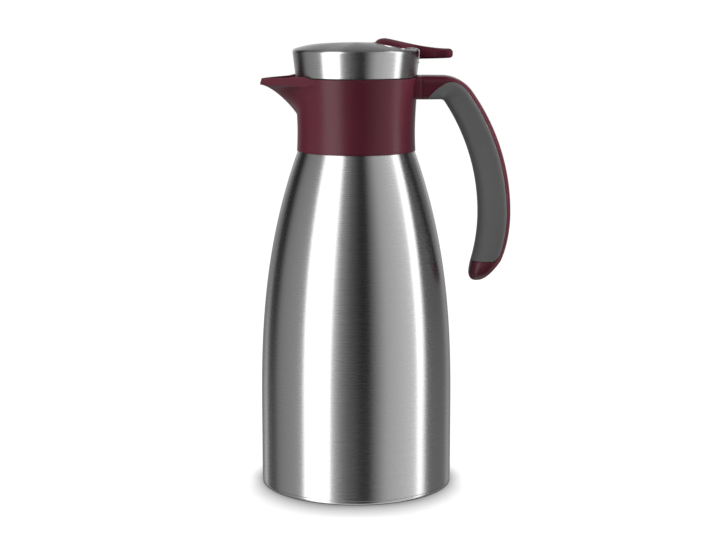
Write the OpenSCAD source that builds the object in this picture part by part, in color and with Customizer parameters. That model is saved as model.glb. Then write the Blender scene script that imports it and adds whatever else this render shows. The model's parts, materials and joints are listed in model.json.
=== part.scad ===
// Vacuum carafe with a thumb-lever pouring stopper.
// Origin at the centre of the foot, +Z up, spout towards -X, handle towards +X, millimetres.

/* [Body] */
// Largest outer radius of the steel body
body_r = 64.5; // [60:0.5:72]
// Height at which the wall starts to curve in
straight_h = 50; // [30:1:80]
// Height of the shoulder that carries the collar
shoulder_z = 226.4; // [200:0.2:260]
// Outer radius of the shoulder
shoulder_r = 39; // [38.4:0.1:39.4]
// How late the wall curves in: 2 is a parabola
draw_power = 2.52; // [2:0.02:3]
// Sheet thickness of the outer shell
body_wall = 0.8; // [0.5:0.1:1.2]

/* [Foot] */
// Height of the rolled rim below the body wall
foot_h = 2.4; // [1.8:0.1:5]
// How far the foot stands in from the body wall
foot_step = 0.3; // [0.1:0.1:0.6]
// Rounding of the foot's outer edge
foot_edge_r = 1.2; // [0.6:0.1:1.6]
// Width of the ring that the carafe stands on
foot_ring_w = 8.5; // [5:0.5:14]
// Height of the recess inside the ring
recess_h = 3; // [2:0.1:4]
// Sheet thickness of the foot
foot_wall = 0.8; // [0.5:0.1:1]

/* [Inner bottle] */
// Vacuum gap at the side
vacuum_gap = 6; // [4:0.5:10]
// Height of the bottle's floor above the table
bottle_floor_z = 14; // [12:0.5:24]
// Rounding of the bottle's floor
bottle_corner_r = 15; // [8:1:24]
// Sheet thickness of the bottle
bottle_wall = 0.6; // [0.4:0.1:1]
// Inner radius of the mouth
mouth_r = 31; // [30:0.1:31.4]
// Vacuum gap at the neck
neck_gap = 2.4; // [1.8:0.1:2.6]
// Height of the neck above the shoulder
neck_h = 13.6; // [12.5:0.1:18]
// Radius of the getter pad
getter_r = 8; // [5:0.5:14]
// Thickness of the getter pad
getter_t = 2; // [1:0.2:3]
// Radius of the evacuation hole
vent_r = 1.5; // [1:0.1:2]

/* [Collar and spout] */
// Height of the collar from the shoulder to its rim
collar_h = 48.7; // [46:0.1:56]
// Outer radius at the collar's lower edge
collar_bottom_r = 39.6; // [39.4:0.1:41]
// Outer radius at the waist of the collar
collar_waist_r = 39.2; // [39:0.1:40.5]
// Outer radius at the rim
collar_top_r = 41.3; // [41.1:0.1:43]
// Inner radius of the pour basin
basin_r = 38.2; // [37.8:0.1:38.6]
// How far the spout reaches past the collar
spout_reach = 22.5; // [14:0.5:30]
// Depth of the spout's root below the rim
spout_depth = 24.6; // [15:0.1:26]
// Height of the face at the spout's tip
spout_tip_h = 4.2; // [3.4:0.1:7]
// Rounding of the spout's tip in plan
spout_tip_r = 3.5; // [3:0.1:6]
// Wall of the spout beside its channel
spout_wall = 1.7; // [1:0.1:2]
// Floor of the spout at its tip
spout_floor_t = 2; // [1.2:0.1:2.4]
// Height of the threaded ring
ring_h = 14.2; // [12:0.1:18]
// Wall of the threaded ring's sleeve
ring_wall = 1.5; // [1:0.1:2]
// Thickness of the gasket on the bottle's lip
gasket_t = 1.2; // [0.8:0.1:2]

/* [Handle] */
// Farthest reach of the handle from the carafe's axis
handle_reach = 103.6; // [98:0.2:115]
// Depth of the handle where it reaches farthest
handle_depth = 22; // [17:0.5:25]
// Width of the handle at its root
handle_w = 27; // [24:0.5:32]
// Height of the handle's root
root_h = 15.6; // [14:0.2:18]
// Rise of the handle's top above the collar's rim
crown_h = 1.3; // [0.5:0.1:3]
// Length of the level stretch at the handle's top
level_l = 13.2; // [11:0.2:17]
// Radius of the bend at the top
bend_r = 25; // [18:0.5:28]
// Drop from the handle's top to its farthest point
bulge_drop = 92.4; // [84:0.2:100]
// Radius of the handle's lower outer curve
low_out_r = 95; // [80:1:140]
// Radius of the handle's lower inner curve
low_in_r = 115; // [100:1:160]
// Drop from the farthest point to the grip's end
grip_drop = 32; // [26:0.5:38]
// Height of the rounded toe below the grip
toe_h = 13.4; // [10:0.2:20]
// Thickness of the soft grip
grip_t = 2.2; // [1.2:0.1:3]
// Width of the plastic edge left outside the grip
edge_w = 3; // [2:0.1:5]

/* [Lid] */
// Gap between the collar's rim and the lid
lid_gap = 0.35; // [0.3:0.05:0.8]
// Outer radius of the lid cap at its lower edge
cap_bottom_r = 40.3; // [39.6:0.1:40.6]
// Outer radius of the lid cap at its rim
cap_top_r = 42.2; // [41.8:0.1:44]
// Height of the lid cap's side wall
cap_side_h = 15.8; // [14.5:0.1:18]
// Height of the whole lid cap
cap_h = 21.85; // [21.2:0.05:26]
// Rounding between the side wall and the dome
cap_edge_r = 2.2; // [1.4:0.1:2.8]
// Sheet thickness of the lid cap
cap_wall = 0.6; // [0.4:0.1:0.9]
// Thickness of the plastic carrier's plate
core_t = 2.6; // [2:0.1:3.4]

/* [Stopper] */
// Clearance between the stopper and the bottle's mouth
stopper_fit = 1.4; // [1:0.1:1.8]
// Depth of the stopper below the bottle's lip
stopper_depth = 16; // [14:0.5:24]
// Wall of the stopper
stopper_wall = 2; // [1.8:0.1:2.6]
// Thickness of the stopper's floor
stopper_floor_t = 2.5; // [2:0.1:4]
// Radius of the port that the valve closes
port_r = 9; // [7.5:0.5:11]
// Number of pour windows
window_count = 4; // [4:1:6]
// Height of the pour windows
window_h = 10.5; // [7:0.5:12]
// Width of the pour windows
window_w = 24; // [16:1:26]
// Radial depth of the threads, taken off the ring's bore
thread_depth = 2; // [1.5:0.1:2.2]

/* [Valve] */
// Radius of the stem
stem_r = 2.4; // [2:0.1:2.6]
// Running clearance of the stem in its guide
stem_fit = 0.07; // [0.03:0.01:0.1]
// Thickness of the silicone valve disc
disc_t = 2.4; // [1.6:0.1:3.2]
// How far the valve disc covers the floor round the port
disc_lap = 3; // [2:0.2:4]
// Wire diameter of the spring
wire_d = 0.9; // [0.6:0.1:1.1]
// Mean radius of the spring's coils
coil_r = 4.8; // [4.2:0.1:5.2]
// Turns of the spring
coil_turns = 8; // [6:1:10]

/* [Lever] */
// Distance from the carafe's axis to the lever's hinge pin
pivot_x = 33; // [31.5:0.1:34]
// Height of the hinge pin above the lid cap's lower edge
pivot_h = 13.65; // [13:0.05:14.05]
// Radius of the hinge pin
pin_r = 1.5; // [1.2:0.1:1.8]
// Distance from the carafe's axis to the lever's front edge
nose_x = 12.5; // [10:0.5:16]
// Half of the lever head's width
head_w = 24; // [20:0.5:26]
// Half of the lever's width where it crosses the rim
neck_w = 6; // [5:0.5:9]
// Half of the tail's width
tail_w = 12; // [9:0.5:16]
// Distance from the carafe's axis to the tail's end
tail_x = 64; // [58:0.5:72]
// Height of the lever's highest point above the lid cap's lower edge
lever_top_h = 24.9; // [23.5:0.1:26.5]
// Thickness of the tail
tail_t = 6.7; // [5:0.1:7.4]
// Clearance round the lever in the lid cap's opening
lever_gap = 0.9; // [0.8:0.05:1.4]

/* [Hidden] */
$fn = 96;

steel = [0.74, 0.74, 0.75];
plum = [0.36, 0.15, 0.20];
grip_grey = [0.42, 0.43, 0.44];
dark_plastic = [0.20, 0.20, 0.21];
silicone = [0.80, 0.80, 0.78];

touch = 0.05;      // gap of pieces that are welded, pressed or screwed together
seat = 0.3;        // gap of pieces that close on each other or pass each other
over = 1;          // how far a cut runs past what it cuts

// Steel body
shell_in_r = body_r - body_wall;
foot_r = body_r - foot_step;
neck_out_r = mouth_r + bottle_wall;
tube_in_r = neck_out_r + neck_gap;
tube_out_r = tube_in_r + body_wall;
lip_z = shoulder_z + neck_h;
bead_z = shoulder_z + 7;
bead_h = 2.4;
bead_w = 1;
lip_w = 1.8;
bottom_z = recess_h + foot_wall + vent_r;
bottom_flange_h = 8;
vent_cap_r = vent_r + 2;
vent_cap_h = vent_r - 0.5;

// Collar
collar_z = shoulder_z + collar_h;
skirt_w = 2.6;
rib_in_r = tube_out_r + seat;
rib_h = bead_z - shoulder_z - 3;
rib_z = bead_z - rib_h;
ring_z = lip_z + bottle_wall + gasket_t;
ring_top_z = ring_z + ring_h;
stopper_r = mouth_r - stopper_fit;
thread_bore_r = stopper_r + thread_depth;
ring_out_r = thread_bore_r + ring_wall;
ring_flange_t = 3;
ledge_t = 4;
ledge_z = ring_top_z - ring_flange_t;
cavity_r = basin_r - 1;
spout_root_z = collar_z - spout_depth;
spout_top_z = collar_z - 0.7;
spout_lip_z = spout_top_z - spout_tip_h;
spout_tip_x = collar_top_r + spout_reach;
spout_centre_x = spout_tip_x - spout_tip_r;
channel_tip_r = spout_tip_r - spout_wall;
channel_lip_z = spout_lip_z + spout_floor_t;
channel_r = basin_r - 0.2;
shoulder_rise = 1.3;

// Handle, in the XZ plane
handle_z = collar_z + crown_h;
root_x = collar_top_r + 2.4;
root_mid_z = handle_z - root_h / 2;
bulge_z = handle_z - bulge_drop;
grip_end_z = bulge_z - grip_drop;
bend_c = [root_x + level_l, handle_z - bend_r];
crook_r = 4;
crook_c = [root_x + level_l - 1.4, handle_z - root_h - crook_r];
inner_x = handle_reach - handle_depth;
up_out_r = big_radius(bend_c, bend_r, handle_reach);
up_in_r = big_radius(crook_c, crook_r, inner_x);
up_out_c = [handle_reach - up_out_r, bulge_z];
up_in_c = [inner_x - up_in_r, bulge_z];
out_turn = heading(bend_c - up_out_c);
in_turn = heading(crook_c - up_in_c);
toe_tuck = 0.5;
tongue_l = 12;
tongue_w = 18;
tongue_h = 9;
screw_x = root_x + 3.6;
screw_r = 1.4;
screw_head_r = 2.2;
screw_head_h = 1.6;

// Lid
lid_z = collar_z + lid_gap;
cap_z = lid_z + 0.4;
side_z = cap_z + cap_side_h;
side_lean = atan2(cap_top_r - cap_bottom_r, cap_side_h);
cap_edge_c = [cap_top_r - cap_edge_r * cos(side_lean), side_z + cap_edge_r * sin(side_lean)];
dome_turn = 68;
dome_r = cap_edge_c[0] + cap_edge_r * cos(dome_turn);
dome_edge_z = cap_edge_c[1] + cap_edge_r * sin(dome_turn);
dome_power = 3.8;
core_r = cap_bottom_r - cap_wall - seat;
core_top_z = lid_z + core_t;
guide_r = coil_r + 1.7;
guide_z = collar_z - 12.6;
guide_top_z = core_top_z + 2.4;
lid_screw_orbit = 32.4;
lid_screw_r = 1.35;
lid_screw_head_r = 2.5;
lid_screw_head_h = 2.2;
lid_screw_angles = [60, 180, 300];
screw_boss_r = 3;
screw_boss_h = 4.4;

// Stopper and valve
stopper_z = lip_z - stopper_depth;
stopper_in_r = stopper_r - stopper_wall;
stopper_flange_t = 3;
stopper_flange_r = lid_screw_orbit + screw_boss_r;
window_z = ring_top_z + 1.6;
seal_groove = 1.2;
seal_h = 4;
seal_z = stopper_z + 5;
seal_slack = 0.15;
seat_z = stopper_z + stopper_floor_t;
disc_z = seat_z + seat;
disc_r = port_r + disc_lap;
disc_hole_r = 4.6;
plug_z = disc_z + disc_t;
plug_t = 2.3;
spring_z = plug_z + plug_t;
stem_foot_z = disc_z + 0.8;
stem_bore_r = stem_r + stem_fit;

// Lever, hinge axis along Y
pivot_z = cap_z + pivot_h;
ear_r = 2.9;
ear_t = 3;
boss_w = 12;
boss_r = 3.4;
ear_y = boss_w / 2 + 0.4;
fork_z = pivot_z - 3.3;
fork_r = 1.5;
arm_w = 7;
arm_h = 4;
fork_slot = stem_r + 0.5;
fork_w = fork_slot + 3;
stem_flange_r = 4.2;
stem_flange_t = 1.2;
head_x = 28.5;
neck_x = cap_top_r - 2.6;
lever_top_z = cap_z + lever_top_h;
crest_x = nose_x + 7;
tail_top_z = cap_z + 18.05;
tail_z = tail_top_z - tail_t;
head_under_z = pivot_z + 3.5;
notch_z = tail_z - 1.8;

// ---------- formulas ----------
function lerp(a, b, t) = a + (b - a) * t;
function clamp01(t) = max(0, min(1, t));
function ease(t) = (1 - cos(180 * clamp01(t))) / 2;
function spow(v, p) = sign(v) * pow(abs(v), p);
function arc_pt(c, r, a) = [c[0] + r * cos(a), c[1] + r * sin(a)];
function heading(v) = atan2(v[1], v[0]);
function flip(list) = [for (i = [len(list) - 1:-1:0]) list[i]];

// Radius of the big arc that is upright at x = reach and touches a bend of radius r at c
function big_radius(c, r, reach) =
    let (a = c[0] - reach, b = c[1] - bulge_z) (r * r - a * a - b * b) / (2 * (a + r));

// Drawn wall: straight to z0, then in to r1 at z1
function drawn_wall(r0, r1, z1, steps = 22) =
    [for (i = [0:steps]) let (t = i / steps)
        [r0 - (r0 - r1) * pow(t, draw_power), lerp(straight_h, z1, t)]];

// Closed skin over rings of equal length, each turning anticlockwise about the way they advance
module loft(rings) {
    n = len(rings[0]);
    m = len(rings);
    low = [for (i = [0:m - 2], j = [0:n - 1]) [i * n + j, (i + 1) * n + j, (i + 1) * n + (j + 1) % n]];
    high = [for (i = [0:m - 2], j = [0:n - 1]) [i * n + j, (i + 1) * n + (j + 1) % n, i * n + (j + 1) % n]];
    first = [for (j = [0:n - 1]) j];
    last = [for (j = [n - 1:-1:0]) (m - 1) * n + j];
    polyhedron([for (r = rings) each r], concat([first], low, high, [last]));
}

module ring(r_out, r_in, z0, z1) {
    translate([0, 0, z0]) difference() {
        cylinder(r = r_out, h = z1 - z0);
        translate([0, 0, -over]) cylinder(r = r_in, h = z1 - z0 + 2 * over);
    }
}

module bore(r, z0, z1) {
    translate([0, 0, z0]) cylinder(r = r, h = z1 - z0);
}

module cross_bar(x, z, r, y0, y1) {
    translate([x, y0, z]) rotate([-90, 0, 0]) cylinder(r = r, h = y1 - y0, $fn = 48);
}

module block(x0, x1, y0, y1, z0, z1) {
    translate([x0, y0, z0]) cube([x1 - x0, y1 - y0, z1 - z0]);
}

// ---------- steel body ----------
module outer_shell() {
    color(steel) rotate_extrude($fn = 144) polygon(concat(
        [[body_r, foot_h]],
        drawn_wall(body_r, shoulder_r, shoulder_z),
        [
            [tube_out_r, shoulder_z], [tube_out_r, bead_z],
            [tube_out_r + bead_w, bead_z + bead_h / 3], [tube_out_r + bead_w, bead_z + 2 * bead_h / 3],
            [tube_out_r, bead_z + bead_h], [tube_out_r, lip_z - 2.6],
            [neck_out_r + lip_w, lip_z], [neck_out_r + touch, lip_z], [neck_out_r + touch, lip_z - 1.4],
            [tube_in_r, lip_z - 3.4], [tube_in_r, shoulder_z - body_wall]
        ],
        flip(drawn_wall(shell_in_r, shoulder_r - body_wall, shoulder_z - body_wall)),
        [[shell_in_r, foot_h]]
    ));
}

module base_cup() {
    edge_c = [foot_r - foot_edge_r, foot_edge_r];
    ring_in_r = foot_r - foot_edge_r - foot_ring_w;
    rim_w = body_wall + foot_step + 0.5;
    color(steel) rotate_extrude($fn = 144) polygon(concat(
        [[0, recess_h], [ring_in_r - recess_h, recess_h], [ring_in_r, 0], [foot_r - foot_edge_r, 0]],
        [for (a = [-75:15:0]) arc_pt(edge_c, foot_edge_r, a)],
        [
            [foot_r, foot_h], [foot_r - rim_w, foot_h], [foot_r - rim_w - 0.2, foot_wall],
            [ring_in_r + foot_wall / 2, foot_wall], [ring_in_r - recess_h + foot_wall / 2, recess_h + foot_wall],
            [0, recess_h + foot_wall]
        ]
    ));
}

module shell_bottom() {
    r = shell_in_r - touch;
    color(steel) rotate_extrude($fn = 144) polygon([
        [vent_r, bottom_z], [r - 1.2, bottom_z], [r, bottom_z + 1.2], [r, bottom_z + bottom_flange_h],
        [r - body_wall, bottom_z + bottom_flange_h], [r - body_wall, bottom_z + 1.5],
        [r - 1.5, bottom_z + body_wall], [vent_r, bottom_z + body_wall]
    ]);
}

module vacuum_seal() {
    color(dark_plastic) {
        translate([0, 0, bottom_z - vent_cap_h]) cylinder(r = vent_cap_r, h = vent_cap_h, $fn = 48);
        translate([0, 0, bottom_z]) cylinder(r = vent_r - touch, h = body_wall, $fn = 48);
    }
}

module getter() {
    color(dark_plastic) bore(getter_r, bottle_floor_z - getter_t, bottle_floor_z);
}

module inner_flask() {
    out_r = shell_in_r - vacuum_gap;
    in_r = out_r - bottle_wall;
    corner = [out_r - bottle_corner_r, bottle_floor_z + bottle_corner_r];
    turn = [for (a = [-90:10:0]) a];
    color(steel) rotate_extrude($fn = 144) polygon(concat(
        [[0, bottle_floor_z]],
        [for (a = turn) arc_pt(corner, bottle_corner_r, a)],
        drawn_wall(out_r, neck_out_r, shoulder_z),
        [
            [neck_out_r, lip_z], [neck_out_r + lip_w, lip_z],
            [neck_out_r + lip_w, lip_z + bottle_wall], [mouth_r, lip_z + bottle_wall]
        ],
        flip(drawn_wall(in_r, mouth_r, shoulder_z)),
        [for (a = flip(turn)) arc_pt(corner, bottle_corner_r - bottle_wall, a)],
        [[0, bottle_floor_z + bottle_wall]]
    ));
}

// ---------- collar ----------
function collar_r(z) =
    let (waist_z = shoulder_z + 0.28 * collar_h)
    z < waist_z
        ? lerp(collar_waist_r, collar_bottom_r, pow((waist_z - z) / (waist_z - shoulder_z), 2))
        : lerp(collar_waist_r, collar_top_r, pow(clamp01((z - waist_z) / (collar_z - waist_z)), 1.6));

// How much of its reach the beak, or its channel, has at a share u of the height from root to lip
function beak(u) = 1 - pow(1 - pow(clamp01(u), 1.12), 0.64);
function channel_run(u) = 1 - pow(1 - clamp01(u), 0.66);

// Plan outline of a disc of radius r drawn out to a small nose: distance at angle a from the nose
function nose_polar(a, r, centre, nose) =
    let (turn = acos((r - nose) / centre), side = atan2(nose * sin(turn), centre + nose * cos(turn)))
    abs(a) < side ? centre * cos(a) + sqrt(max(0, nose * nose - pow(centre * sin(a), 2)))
    : abs(a) < turn ? r / cos(turn - abs(a)) : r;

// One ring of that outline at height z; reach is the nose's distance from the axis
function nose_ring(r, reach, nose, z) =
    let (
        drawn = reach > r + 0.02,
        centre = reach - nose,
        turn = drawn ? acos((r - nose) / centre) : 24,
        side = drawn ? atan2(nose * sin(turn), centre + nose * cos(turn)) : 4,
        angles = concat(
            [for (i = [-3:3]) side * i / 3],
            [for (i = [1:4]) lerp(side, turn, i / 4)],
            [for (i = [1:47]) lerp(turn, 360 - turn, i / 48)],
            [for (i = [0:3]) lerp(360 - turn, 360 - side, i / 4)]
        )
    )
    [for (a = angles)
        let (d = drawn ? nose_polar(a > 180 ? a - 360 : a, r, centre, nose) : r)
        [-d * cos(a), -d * sin(a), z]];

module collar_outside() {
    steps = 12;
    skirt = [for (t = [0, 0.1, 0.2, 0.35, 0.5, 0.7, 0.88]) lerp(shoulder_z, spout_root_z, t)];
    beak_z = [for (i = [0:steps]) lerp(spout_root_z, spout_lip_z, 1 - pow(1 - i / steps, 1.5))];
    loft(concat(
        [for (z = skirt) nose_ring(collar_r(z), 0, spout_tip_r, z)],
        [for (z = beak_z)
            let (r = collar_r(z), u = (z - spout_root_z) / (spout_lip_z - spout_root_z))
            nose_ring(r, lerp(r, spout_tip_x, beak(u)), spout_tip_r, z)],
        [for (z = [collar_z, collar_z + 2 * over]) nose_ring(collar_top_r, spout_tip_x, spout_tip_r, z)]
    ));
}

module spout_channel() {
    steps = 10;
    reach = spout_centre_x + channel_tip_r;
    floor_z = [for (i = [1:steps]) lerp(ring_top_z, channel_lip_z, 1 - pow(1 - i / steps, 1.5))];
    loft(concat(
        [nose_ring(channel_r, 0, channel_tip_r, ring_top_z)],
        [for (z = floor_z)
            let (u = (z - ring_top_z) / (channel_lip_z - ring_top_z))
            nose_ring(channel_r, lerp(channel_r, reach, channel_run(u)), channel_tip_r, z)],
        [nose_ring(channel_r, reach, channel_tip_r, collar_z + 4 * over)]
    ));
    block(-spout_tip_x - over, -spout_centre_x, -channel_tip_r, channel_tip_r,
        channel_lip_z, collar_z + 4 * over);
}

// Everything above the rim that the spout's walls and the lid leave free
module rim_trim() {
    bore(collar_top_r + 0.15, collar_z, collar_z + 5 * over);
    translate([0, spout_reach * 2, 0]) rotate([90, 0, 0]) linear_extrude(spout_reach * 4) polygon([
        [-spout_tip_x - over, spout_top_z], [-spout_tip_x + spout_tip_r, spout_top_z],
        [-collar_top_r - 5, collar_z + 0.4], [-collar_top_r - 1.5, collar_z + shoulder_rise],
        [-collar_top_r / 2, collar_z + shoulder_rise], [-collar_top_r / 2, collar_z + 5 * over],
        [-spout_tip_x - over, collar_z + 5 * over]
    ]);
}

module handle_bracket() {
    face = station_ring(root_station(0), 0);
    loft([for (x = [basin_r - over, root_x]) [for (p = face) [x, p[1], p[2]]]]);
    block(basin_r - over, root_x + tongue_l, -tongue_w / 2, tongue_w / 2,
        root_mid_z - tongue_h / 2, root_mid_z + tongue_h / 2);
}

module collar() {
    color(plum) difference() {
        union() {
            difference() {
                collar_outside();
                rim_trim();
            }
            intersection() {
                handle_bracket();
                difference() {
                    bore(root_x + tongue_l + over, shoulder_z, handle_z + over);
                    bore(collar_top_r + 0.15, collar_z, handle_z + 2 * over);
                }
            }
        }
        spout_channel();
        bore(collar_bottom_r - skirt_w, shoulder_z - over, rib_z);
        bore(rib_in_r, shoulder_z - over, bead_z);
        bore(cavity_r, bead_z - touch, ledge_z - ledge_t);
        bore(ring_out_r + seat, shoulder_z, ledge_z + over);
        bore(basin_r, ledge_z, collar_z + 4 * over);
        bore(screw_r, root_mid_z - tongue_h, root_mid_z + tongue_h / 3, $fn = 32);
        translate([screw_x, 0, 0]) bore(screw_r, handle_z - root_h, root_mid_z + tongue_h / 3, $fn = 32);
    }
}

module neck_gasket() {
    color(silicone) ring(neck_out_r + lip_w, mouth_r + seat, lip_z + bottle_wall, ring_z);
}

module thread_ring() {
    color(dark_plastic) difference() {
        union() {
            bore(ring_out_r, ring_z, ring_top_z);
            bore(basin_r - touch, ledge_z, ring_top_z);
        }
        bore(thread_bore_r, ring_z - over, ring_top_z + over);
    }
}

// ---------- handle ----------
// A station is [outer point, inner point, half width, squareness, taper, grip share, groove depth]
grip_share = 1 - edge_w / handle_depth;
leaf_steps = 10;
root_leaf = 4;
function leaf_share(k) = 0.03 + (grip_share - 0.03) * (1 - pow(1 - clamp01(k / leaf_steps), 1.9));
function leaf_groove(k) = grip_t * clamp01((k + 0.5) / 3.5);

function root_station(t, k = -1) = [
    [root_x + t * level_l, handle_z],
    [lerp(root_x, crook_c[0], t), handle_z - root_h],
    handle_w / 2, lerp(7, 5, t), 0,
    k < 0 ? 0.03 : leaf_share(k), k < 0 ? 0 : leaf_groove(k)
];
function bend_station(t, k) = [
    arc_pt(bend_c, bend_r, lerp(90, out_turn, t)),
    arc_pt(crook_c, crook_r, lerp(90, in_turn, t)),
    lerp(handle_w / 2, handle_w / 2 - 0.5, t), lerp(5, 2.9, ease(t)), lerp(0, 0.3, ease(t)),
    leaf_share(k), leaf_groove(k)
];
function upper_station(t) = [
    arc_pt(up_out_c, up_out_r, lerp(out_turn, 0, t)),
    arc_pt(up_in_c, up_in_r, lerp(in_turn, 0, t)),
    handle_w / 2 - 0.5, 2.9, 0.3, grip_share, grip_t
];
function lower_station(t) =
    let (drop = grip_drop - 0.4)
    [
        arc_pt([handle_reach - low_out_r, bulge_z], low_out_r, -asin(drop * t / low_out_r))
            - [toe_tuck * pow(t, 6), 0],
        arc_pt([inner_x - low_in_r, bulge_z], low_in_r, -asin(drop * t / low_in_r)),
        lerp(handle_w / 2 - 0.5, handle_w / 2 - 1.5, t), 2.9, 0.3,
        grip_share - 0.16 * pow(t, 14), grip_t
    ];
toe_out_x = handle_reach - toe_tuck - low_out_r * (1 - cos(asin(grip_drop / low_out_r)));
toe_in_x = inner_x - low_in_r * (1 - cos(asin(grip_drop / low_in_r)));
function toe_station(v) =
    let (depth = toe_out_x - toe_in_x)
    [
        [toe_out_x - 0.76 * depth * (1 - pow(1 - v, 0.6)), grip_end_z - toe_h * v],
        [toe_in_x - 0.2 * toe_h * v + 0.3 * depth * (1 - sqrt(1 - pow(v, 4))), grip_end_z - toe_h * v],
        (handle_w / 2 - 1.5) * sqrt(1 - pow(v, 3)), 2.9, 0.3 * (1 - v), grip_share - 0.16, 0
    ];

root_plain = [root_station(0), root_station(0.4)];
grip_stations = concat(
    [for (k = [0:root_leaf]) root_station(lerp(0.52, 1, k / root_leaf), k)],
    [for (k = [1:6]) bend_station(k / 6, root_leaf + k)],
    [for (i = [1:8]) upper_station(i / 8)],
    [for (t = [0.2, 0.4, 0.6, 0.8, 0.92, 1]) lower_station(t)]
);
toe_stations = [for (a = [0, 15, 30, 45, 58, 70, 80]) toe_station(sin(a))];

// Point of a station's outline at angle phi from the outer edge, set in by inset
function station_pt(s, phi, inset) =
    let (
        depth = norm(s[0] - s[1]),
        dir = (s[0] - s[1]) / depth,
        mid = (s[0] + s[1]) / 2,
        across = spow(cos(phi), 2 / s[3]),
        a = (depth / 2 - inset) * across,
        b = (s[2] * (1 - s[4] * (1 - across) / 2) - inset) * spow(sin(phi), 2 / s[3])
    )
    [mid[0] + a * dir[0], -b, mid[1] + a * dir[1]];

// Angle at which the grip's edge lies, and the slant of the groove's side
function grip_angle(s) = acos(spow(2 * s[5] - 1, s[3] / 2));
function grip_slant(s) = min(4, (180 - grip_angle(s)) / 4);
seam = 0.08;
seam_turn = 0.6;
edge_steps = 5;
grip_steps = 15;
function grip_angles(s) =
    let (a = grip_angle(s) + grip_slant(s))
    [for (i = [0:grip_steps]) lerp(a, 360 - a, i / grip_steps)];

// Outline of the plastic spine: outer edge, then the groove that the grip fills
function station_ring(s, groove) =
    let (a = grip_angle(s))
    concat(
        [for (i = [0:edge_steps]) station_pt(s, a * i / edge_steps, 0)],
        [for (phi = grip_angles(s)) station_pt(s, phi, groove)],
        [for (i = [0:edge_steps - 1]) station_pt(s, lerp(360 - a, 360, i / edge_steps), 0)]
    );

// Outline of the grip: its outer skin, then the inner side that lies on the groove's floor
function sleeve_ring(s) =
    let (
        a = grip_angle(s) + seam_turn,
        floor_in = max(s[6] - seam, s[6] / 2),
        inner = [for (phi = flip(grip_angles(s))) lerp(180, phi, 1 - seam_turn / 60)]
    )
    concat(
        [station_pt(s, a, 0)],
        [for (phi = grip_angles(s)) station_pt(s, phi, 0)],
        [station_pt(s, 360 - a, 0)],
        [for (phi = inner) station_pt(s, phi, floor_in)]
    );

module handle_spine() {
    color(plum) difference() {
        loft([for (s = concat(root_plain, grip_stations, toe_stations)) station_ring(s, s[6])]);
        block(root_x - over, root_x + tongue_l + seat, -tongue_w / 2 - seat, tongue_w / 2 + seat,
            root_mid_z - tongue_h / 2 - seat, root_mid_z + tongue_h / 2 + seat);
        translate([screw_x, 0, handle_z - root_h]) {
            bore(screw_r + touch, -over, root_h / 2, $fn = 32);
            bore(screw_head_r + touch, -over, screw_head_h, $fn = 32);
        }
    }
}

module handle_grip() {
    color(grip_grey) loft([for (s = grip_stations) sleeve_ring(s)]);
}

module handle_screw() {
    color(steel) translate([screw_x, 0, handle_z - root_h]) difference() {
        union() {
            bore(screw_head_r, 0.2, screw_head_h, $fn = 32);
            bore(screw_r - touch, 0.2, root_h / 2 + 2, $fn = 32);
        }
        translate([0, 0, 0.6]) cube([2.6, 0.6, 1], center = true);
    }
}

// ---------- lid ----------
function dome_height(r) =
    cap_z + cap_h - (cap_z + cap_h - dome_edge_z) * pow(min(1, r / dome_r), dome_power);

// Lid cap outline from the lower edge to the middle of the dome, set in by inset
function cap_outline(inset) = concat(
    [[cap_bottom_r - inset, cap_z]],
    [for (i = [0:6]) arc_pt(cap_edge_c, cap_edge_r - inset, lerp(-side_lean, dome_turn, i / 6))],
    [for (i = [1:14]) let (r = dome_r * (1 - i / 14)) [r, dome_height(r) - inset]]
);

module lid_cap() {
    color(steel) difference() {
        rotate_extrude($fn = 144) polygon(concat(cap_outline(0), flip(cap_outline(cap_wall))));
        translate([0, 0, notch_z]) linear_extrude(cap_h) offset(delta = lever_gap) lever_plan();
    }
}

module lid_core() {
    color(dark_plastic) difference() {
        union() {
            bore(cap_bottom_r - touch, lid_z, cap_z - touch);
            bore(core_r, lid_z, core_top_z);
            ring(core_r, core_r - 1.4, core_top_z - over, core_top_z + 3);
            bore(guide_r, guide_z, guide_top_z);
            for (a = lid_screw_angles)
                rotate(a) translate([lid_screw_orbit, 0, 0])
                    bore(screw_boss_r, core_top_z - over, core_top_z + screw_boss_h, $fn = 32);
            for (y = [-ear_y - ear_t, ear_y]) {
                block(pivot_x - ear_r, pivot_x + ear_r, y, y + ear_t, core_top_z - over, pivot_z);
                cross_bar(pivot_x, pivot_z, ear_r, y, y + ear_t);
            }
        }
        bore(stem_bore_r, guide_z - over, guide_top_z + over);
        cross_bar(pivot_x, pivot_z, pin_r + touch, -ear_y - ear_t - over, ear_y + ear_t + over);
        for (a = lid_screw_angles)
            rotate(a) translate([lid_screw_orbit, 0, 0])
                bore(lid_screw_r + touch, lid_z - over, core_top_z + screw_boss_h - over, $fn = 32);
    }
}

module lid_screws() {
    color(steel) for (a = lid_screw_angles)
        rotate(a) translate([lid_screw_orbit, 0, lid_z - stopper_flange_t]) difference() {
            union() {
                bore(lid_screw_head_r, -lid_screw_head_h, 0, $fn = 32);
                bore(lid_screw_r, -over, stopper_flange_t + core_t + screw_boss_h - 2 * over, $fn = 32);
            }
            translate([0, 0, -lid_screw_head_h]) cube([3.4, 0.8, 1.6], center = true);
            translate([0, 0, -lid_screw_head_h]) cube([0.8, 3.4, 1.6], center = true);
        }
}

// ---------- stopper ----------
module stopper_cup() {
    color(dark_plastic) difference() {
        bore(stopper_r, stopper_z, window_z);
        bore(stopper_in_r, seat_z, window_z + over);
        bore(port_r, stopper_z - over, lid_z);
        ring(stopper_r + over, stopper_r - seal_groove, seal_z, seal_z + seal_h);
    }
}

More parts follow.
